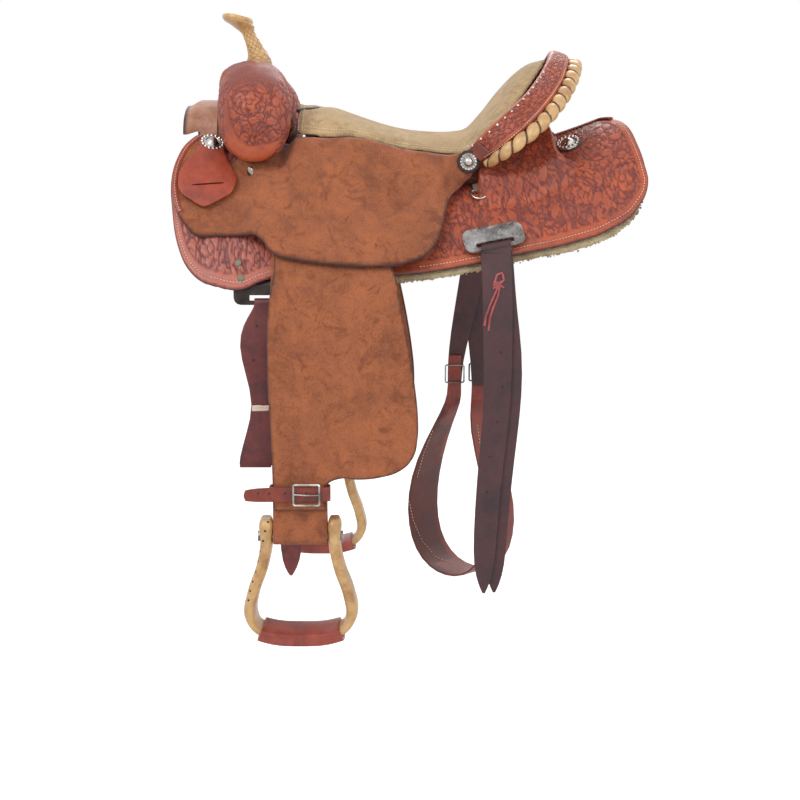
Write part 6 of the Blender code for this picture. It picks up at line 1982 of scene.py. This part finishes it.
class Stirrups:
    """Rawhide-covered stirrups, their lace holes and treads."""

    LINE = [(0.0480, 0.027, 0.0068, 0.0136), (0.0480, 0.023, 0.0085, 0.0170),
            (0.0480, 0.000, 0.0085, 0.0170), (0.0480, -0.009, 0.0085, 0.0170),
            (0.0540, -0.042, 0.0085, 0.0187), (0.0675, -0.082, 0.0085, 0.0234),
            (0.0715, -0.110, 0.0085, 0.0260), (0.0625, -0.130, 0.0060, 0.0260),
            (0.0400, -0.139, 0.0060, 0.0260), (0.0000, -0.140, 0.0060, 0.0260)]
    BOLT_Z = -0.517
    ROUND = 0.62
    LACES = [(268, 522), (265, 531), (263, 541), (260, 551), (256.5, 561), (252.5, 571),
             (249, 581), (246.5, 591), (245, 601)]

    def build(self) -> None:
        """Make both stirrups."""
        for word, side in SIDES:
            body = "stirrup_" + word
            middle, y, _ = np.array(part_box(body)).mean(0)
            self._ring(body, y)
            dressed("stirrup_tread_" + word, TREAD, body, 0.0012, 1,
                    shape=lambda bm: self._widen(bm, middle))
            self._holes(word, side)

    @staticmethod
    def _widen(bm: bmesh.types.BMesh, middle: float) -> None:
        """Let the tread's leather reach up the arms and sag a little between them."""
        for vert in bm.verts:
            share = (vert.co.x - middle) / 0.058
            vert.co.x = middle + (vert.co.x - middle) * 1.18
            vert.co.z += 0.006 * share ** 2 - 0.003

    def _holes(self, word: str, side: float) -> None:
        """Lace holes up the outer face of the front arm, painted dark as the shade inside.
        """
        tree = tree_of(bpy.data.objects["stirrup_rawhide_near"])
        spots, ups = (flip(found, side) for found in Eye.picks(self.LACES, tree))
        holes = shaded_holes("stirrup_lace_holes_" + word, spots, ups, 0.0017)
        finish_piece(holes, BLACK, "stirrup_" + word)

    def _ring(self, body: str, y: float) -> None:
        """The covered stirrup, swept from arm to arm under the foot."""
        half = np.insert(self.LINE, 1, 0.0, axis=1)
        line = smooth_line(np.vstack([half, half[-2::-1] * [-1, 1, 1, 1, 1]]), 241)
        inward = np.cross(unit(np.gradient(line[:, :3], axis=0)), [0.0, 1.0, 0.0])

        def place(u, v):
            t, past = capped(u, 0.012)
            shrink = np.sqrt(np.clip(1.0 - past ** 2, 0.0, 1.0))
            at = t * (len(line) - 1)
            x, _, z, thin, deep = along_line(line, at).T
            lean, _, drop = along_line(inward, at).T
            angle = 2 * math.pi * v
            thin = power_of(np.cos(angle), self.ROUND) * thin * shrink
            deep = power_of(np.sin(angle), self.ROUND) * deep * shrink
            return np.stack([LEG_X + x + lean * thin, y + deep,
                             self.BOLT_Z + z + drop * thin], 1)

        bm, uv = grid((360, 48), place)
        end = np.clip(1.0 - np.minimum(uv[:, 0], 1 - uv[:, 0]) / 0.02, 0, 1)
        carry(bm, "tool", np.ones(len(uv)))
        carry(bm, "edge", 0.25 * end)
        name = body.replace("stirrup", "stirrup_rawhide")
        finish_piece(welded(name, bm, 0.00003), RAWHIDE, body, [body])


class Straps:
    """Billets, cinch and latigo."""

    HOLES = {"rear_billet_near": [(501, 352), (502, 387), (497.5, 422), (490, 457),
                                  (487, 492)],
             "latigo_near": [(256.5, 326), (253.5, 360)]}
    LACE = ([(494, 284), (497, 275), (502, 273), (504, 280), (499, 285), (493, 289)],
            [(499, 284), (495, 294), (490, 305), (486, 316), (484.5, 326)],
            [(500, 285), (498, 296), (493.5, 307), (490, 318), (488.5, 331)],
            [(494, 281), (504, 288)], [(493, 286), (503, 281)])
    TIE = ([(252, 407), (258, 406.5), (264, 407), (270, 406.5)],
           [(252, 409.5), (258, 409.5), (264, 409.5), (270, 409)])
    CINCH = [[(409, 500), (413, 520), (422, 541), (436, 557), (452, 565)],
             [(433, 430), (424, 452), (417, 478)], [(477, 424), (481, 452), (486, 480)]]

    def build(self) -> None:
        """Make the straps from their own cut shapes, then what is laced on them."""
        trees = {}
        for node, finish, body in (
                ("rear_billet_near", DARK, "rear_billet_near"),
                ("rear_billet_off", DARK, "flank_cinch"),
                ("flank_cinch", HOBBLE, "flank_cinch"),
                ("latigo_near", BURGUNDY, "latigo"),
                ("front_billet_off", BURGUNDY, "front_billet")):
            strap = dressed(node, finish, body)
            trees[node] = tree_of(strap)
            if node == "flank_cinch":
                self._lining(strap)
        for node, pixels in self.HOLES.items():
            # Painted shade: the holes show as dark dimples.
            holes = shaded_holes(node + "_holes", *Eye.picks(pixels, trees[node]), 0.0021)
            finish_piece(holes, BLACK, "latigo" if node == "latigo_near" else node)
        self._lace("billet_lace", LACE, "rear_billet_near", trees["rear_billet_near"],
                   0.0016, self.LACE)
        self._lace("latigo_tie", WHITE, "latigo", trees["latigo_near"], 0.0022, self.TIE)
        self._cinch_rows(trees["flank_cinch"])

    @staticmethod
    def _lining(strap: bpy.types.Object) -> None:
        """The grey-brown lining shows on the cinch's near limb."""
        middles = np.array([p.center[0] for p in strap.data.polygons])
        lined = smoothstep((0.082 - middles) / 0.012) * 0.62
        layer = strap.data.attributes.new("edge", "FLOAT", "FACE")
        layer.data.foreach_set("value", lined.astype(np.float32))

    @staticmethod
    def _lace(name: str, finish: Finish, body: str, tree: BVHTree, radius: float,
              lines: Sequence[Sequence[tuple]]) -> None:
        """Flat lace lying on a strap, along pixel lines."""
        made = []
        for line in lines:
            spots, ups = Eye.line(line, tree, 2.0)
            made.append(tube("lace", spots + ups * radius * 0.5, radius, 8, 0.6, ups))
        finish_piece(join(name, made), finish, body)

    def _cinch_rows(self, tree: BVHTree) -> None:
        """Cream stitching near the cinch's edges."""
        rows = []
        for line in self.CINCH:
            spots, ups = Eye.line(line, tree)
            rows.append(stitches("row", spots, ups, 0.0060, 0.0040, 0.0014))
        finish_piece(join("cinch_stitching", rows), CREAM, "flank_cinch")


class Tree:
    """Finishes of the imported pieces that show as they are."""

    FINISHES = {"tree_bar": WOOD, "tree_fork": WOOD, "cantle_board": WOOD,
                "ground_seat": DARK, "front_rigging_plate": IRON,
                "stirrup_bolt": STEEL, "flank_buckle": STEEL, "hobble_buckle": SILVER}

    def build(self) -> None:
        """Assign the finishes."""
        for name, node in frame["nodes"].items():
            for start, finish in self.FINISHES.items():
                if name.startswith(start):
                    for slot in node.material_slots:
                        slot.link = "OBJECT"
                        slot.material = material(finish)


class Studio:
    """Floor, backdrop, soft lights and the photograph's camera."""

    FLOOR = -0.900
    AMBIENT = 0.62

    def build(self) -> None:
        """Set the room up."""
        self._world()
        self._floor()
        self._light("key", (-1.3, -1.9, 1.7), 1.3, 31.0)
        self._light("fill", (1.7, -1.5, 0.9), 1.6, 14.0)
        self._light("rim", (0.3, 1.7, 1.7), 1.4, 20.0)
        self._camera()
        view = bpy.context.scene.view_settings
        view.view_transform = "Standard"
        view.look = "None"

    def _world(self) -> None:
        """White to the camera and in reflections, dimmer as a light."""
        world = bpy.data.worlds.new("studio")
        bpy.context.scene.world = world
        world.use_nodes = True
        graph = Graph(world.node_tree)
        back = world.node_tree.nodes["Background"]
        back.inputs["Color"].default_value = (1.0, 1.0, 1.0, 1.0)
        path = graph.node("ShaderNodeLightPath").outputs
        seen = graph.math("MAXIMUM", path["Is Camera Ray"], path["Is Glossy Ray"])
        seen = graph.math("MAXIMUM", seen, path["Is Transmission Ray"])
        graph.tree.links.new(graph.span(seen, 0.0, 1.0, self.AMBIENT, 1.0),
                             back.inputs["Strength"])

    def _floor(self) -> None:
        """A white floor that glows a little to the camera."""
        bm = bmesh.new()
        bmesh.ops.create_grid(bm, x_segments=1, y_segments=1, size=6.0)
        for vert in bm.verts:
            vert.co.z = self.FLOOR
        floor = from_bmesh("floor", bm, None)
        paper = bpy.data.materials.new("paper")
        paper.use_nodes = True
        shader = paper.node_tree.nodes["Principled BSDF"]
        shader.inputs["Base Color"].default_value = srgb(250, 250, 250)
        shader.inputs["Roughness"].default_value = 0.9
        shader.inputs["Emission Color"].default_value = (1.0, 1.0, 1.0, 1.0)
        graph = Graph(paper.node_tree)
        path = graph.node("ShaderNodeLightPath").outputs
        graph.tree.links.new(graph.math("MULTIPLY", path["Is Camera Ray"], 0.42),
                             shader.inputs["Emission Strength"])
        floor.data.materials.append(paper)

    @staticmethod
    def _camera() -> None:
        """The photograph's camera."""
        data = bpy.data.cameras.new("camera")
        data.sensor_width = 36.0
        data.lens = Eye.FOCAL / Eye.FRAME * 36.0
        camera = bpy.data.objects.new("camera", data)
        camera.location = Eye.PLACE
        camera.rotation_euler = (math.radians(90.0) - Eye.PITCH, 0.0, 0.0)
        bpy.context.scene.collection.objects.link(camera)
        bpy.context.scene.camera = camera

    @staticmethod
    def _light(name: str, place: tuple, size: float, power: float) -> None:
        """A soft square lamp, aimed at the saddle."""
        data = bpy.data.lights.new(name, "AREA")
        data.size = size
        data.energy = power
        lamp = bpy.data.objects.new(name, data)
        lamp.location = place
        aim = Vector((0.0, 0.0, -0.15)) - Vector(place)
        lamp.rotation_euler = aim.to_track_quat("-Z", "Y").to_euler()
        bpy.context.scene.collection.objects.link(lamp)


def main() -> None:
    """Build the saddle and its studio."""
    logging.basicConfig(level=logging.INFO)
    for maker in (Skirts, Jockeys, Fenders, Swell, Horn, Seat, Cantle, Liner, Silver,
                  Stirrups, Straps, Tree, Studio):
        start = time.time()
        maker().build()
        log.info("%s built in %.1f s", maker.__name__, time.time() - start)


if __name__ == "__main__":
    main()
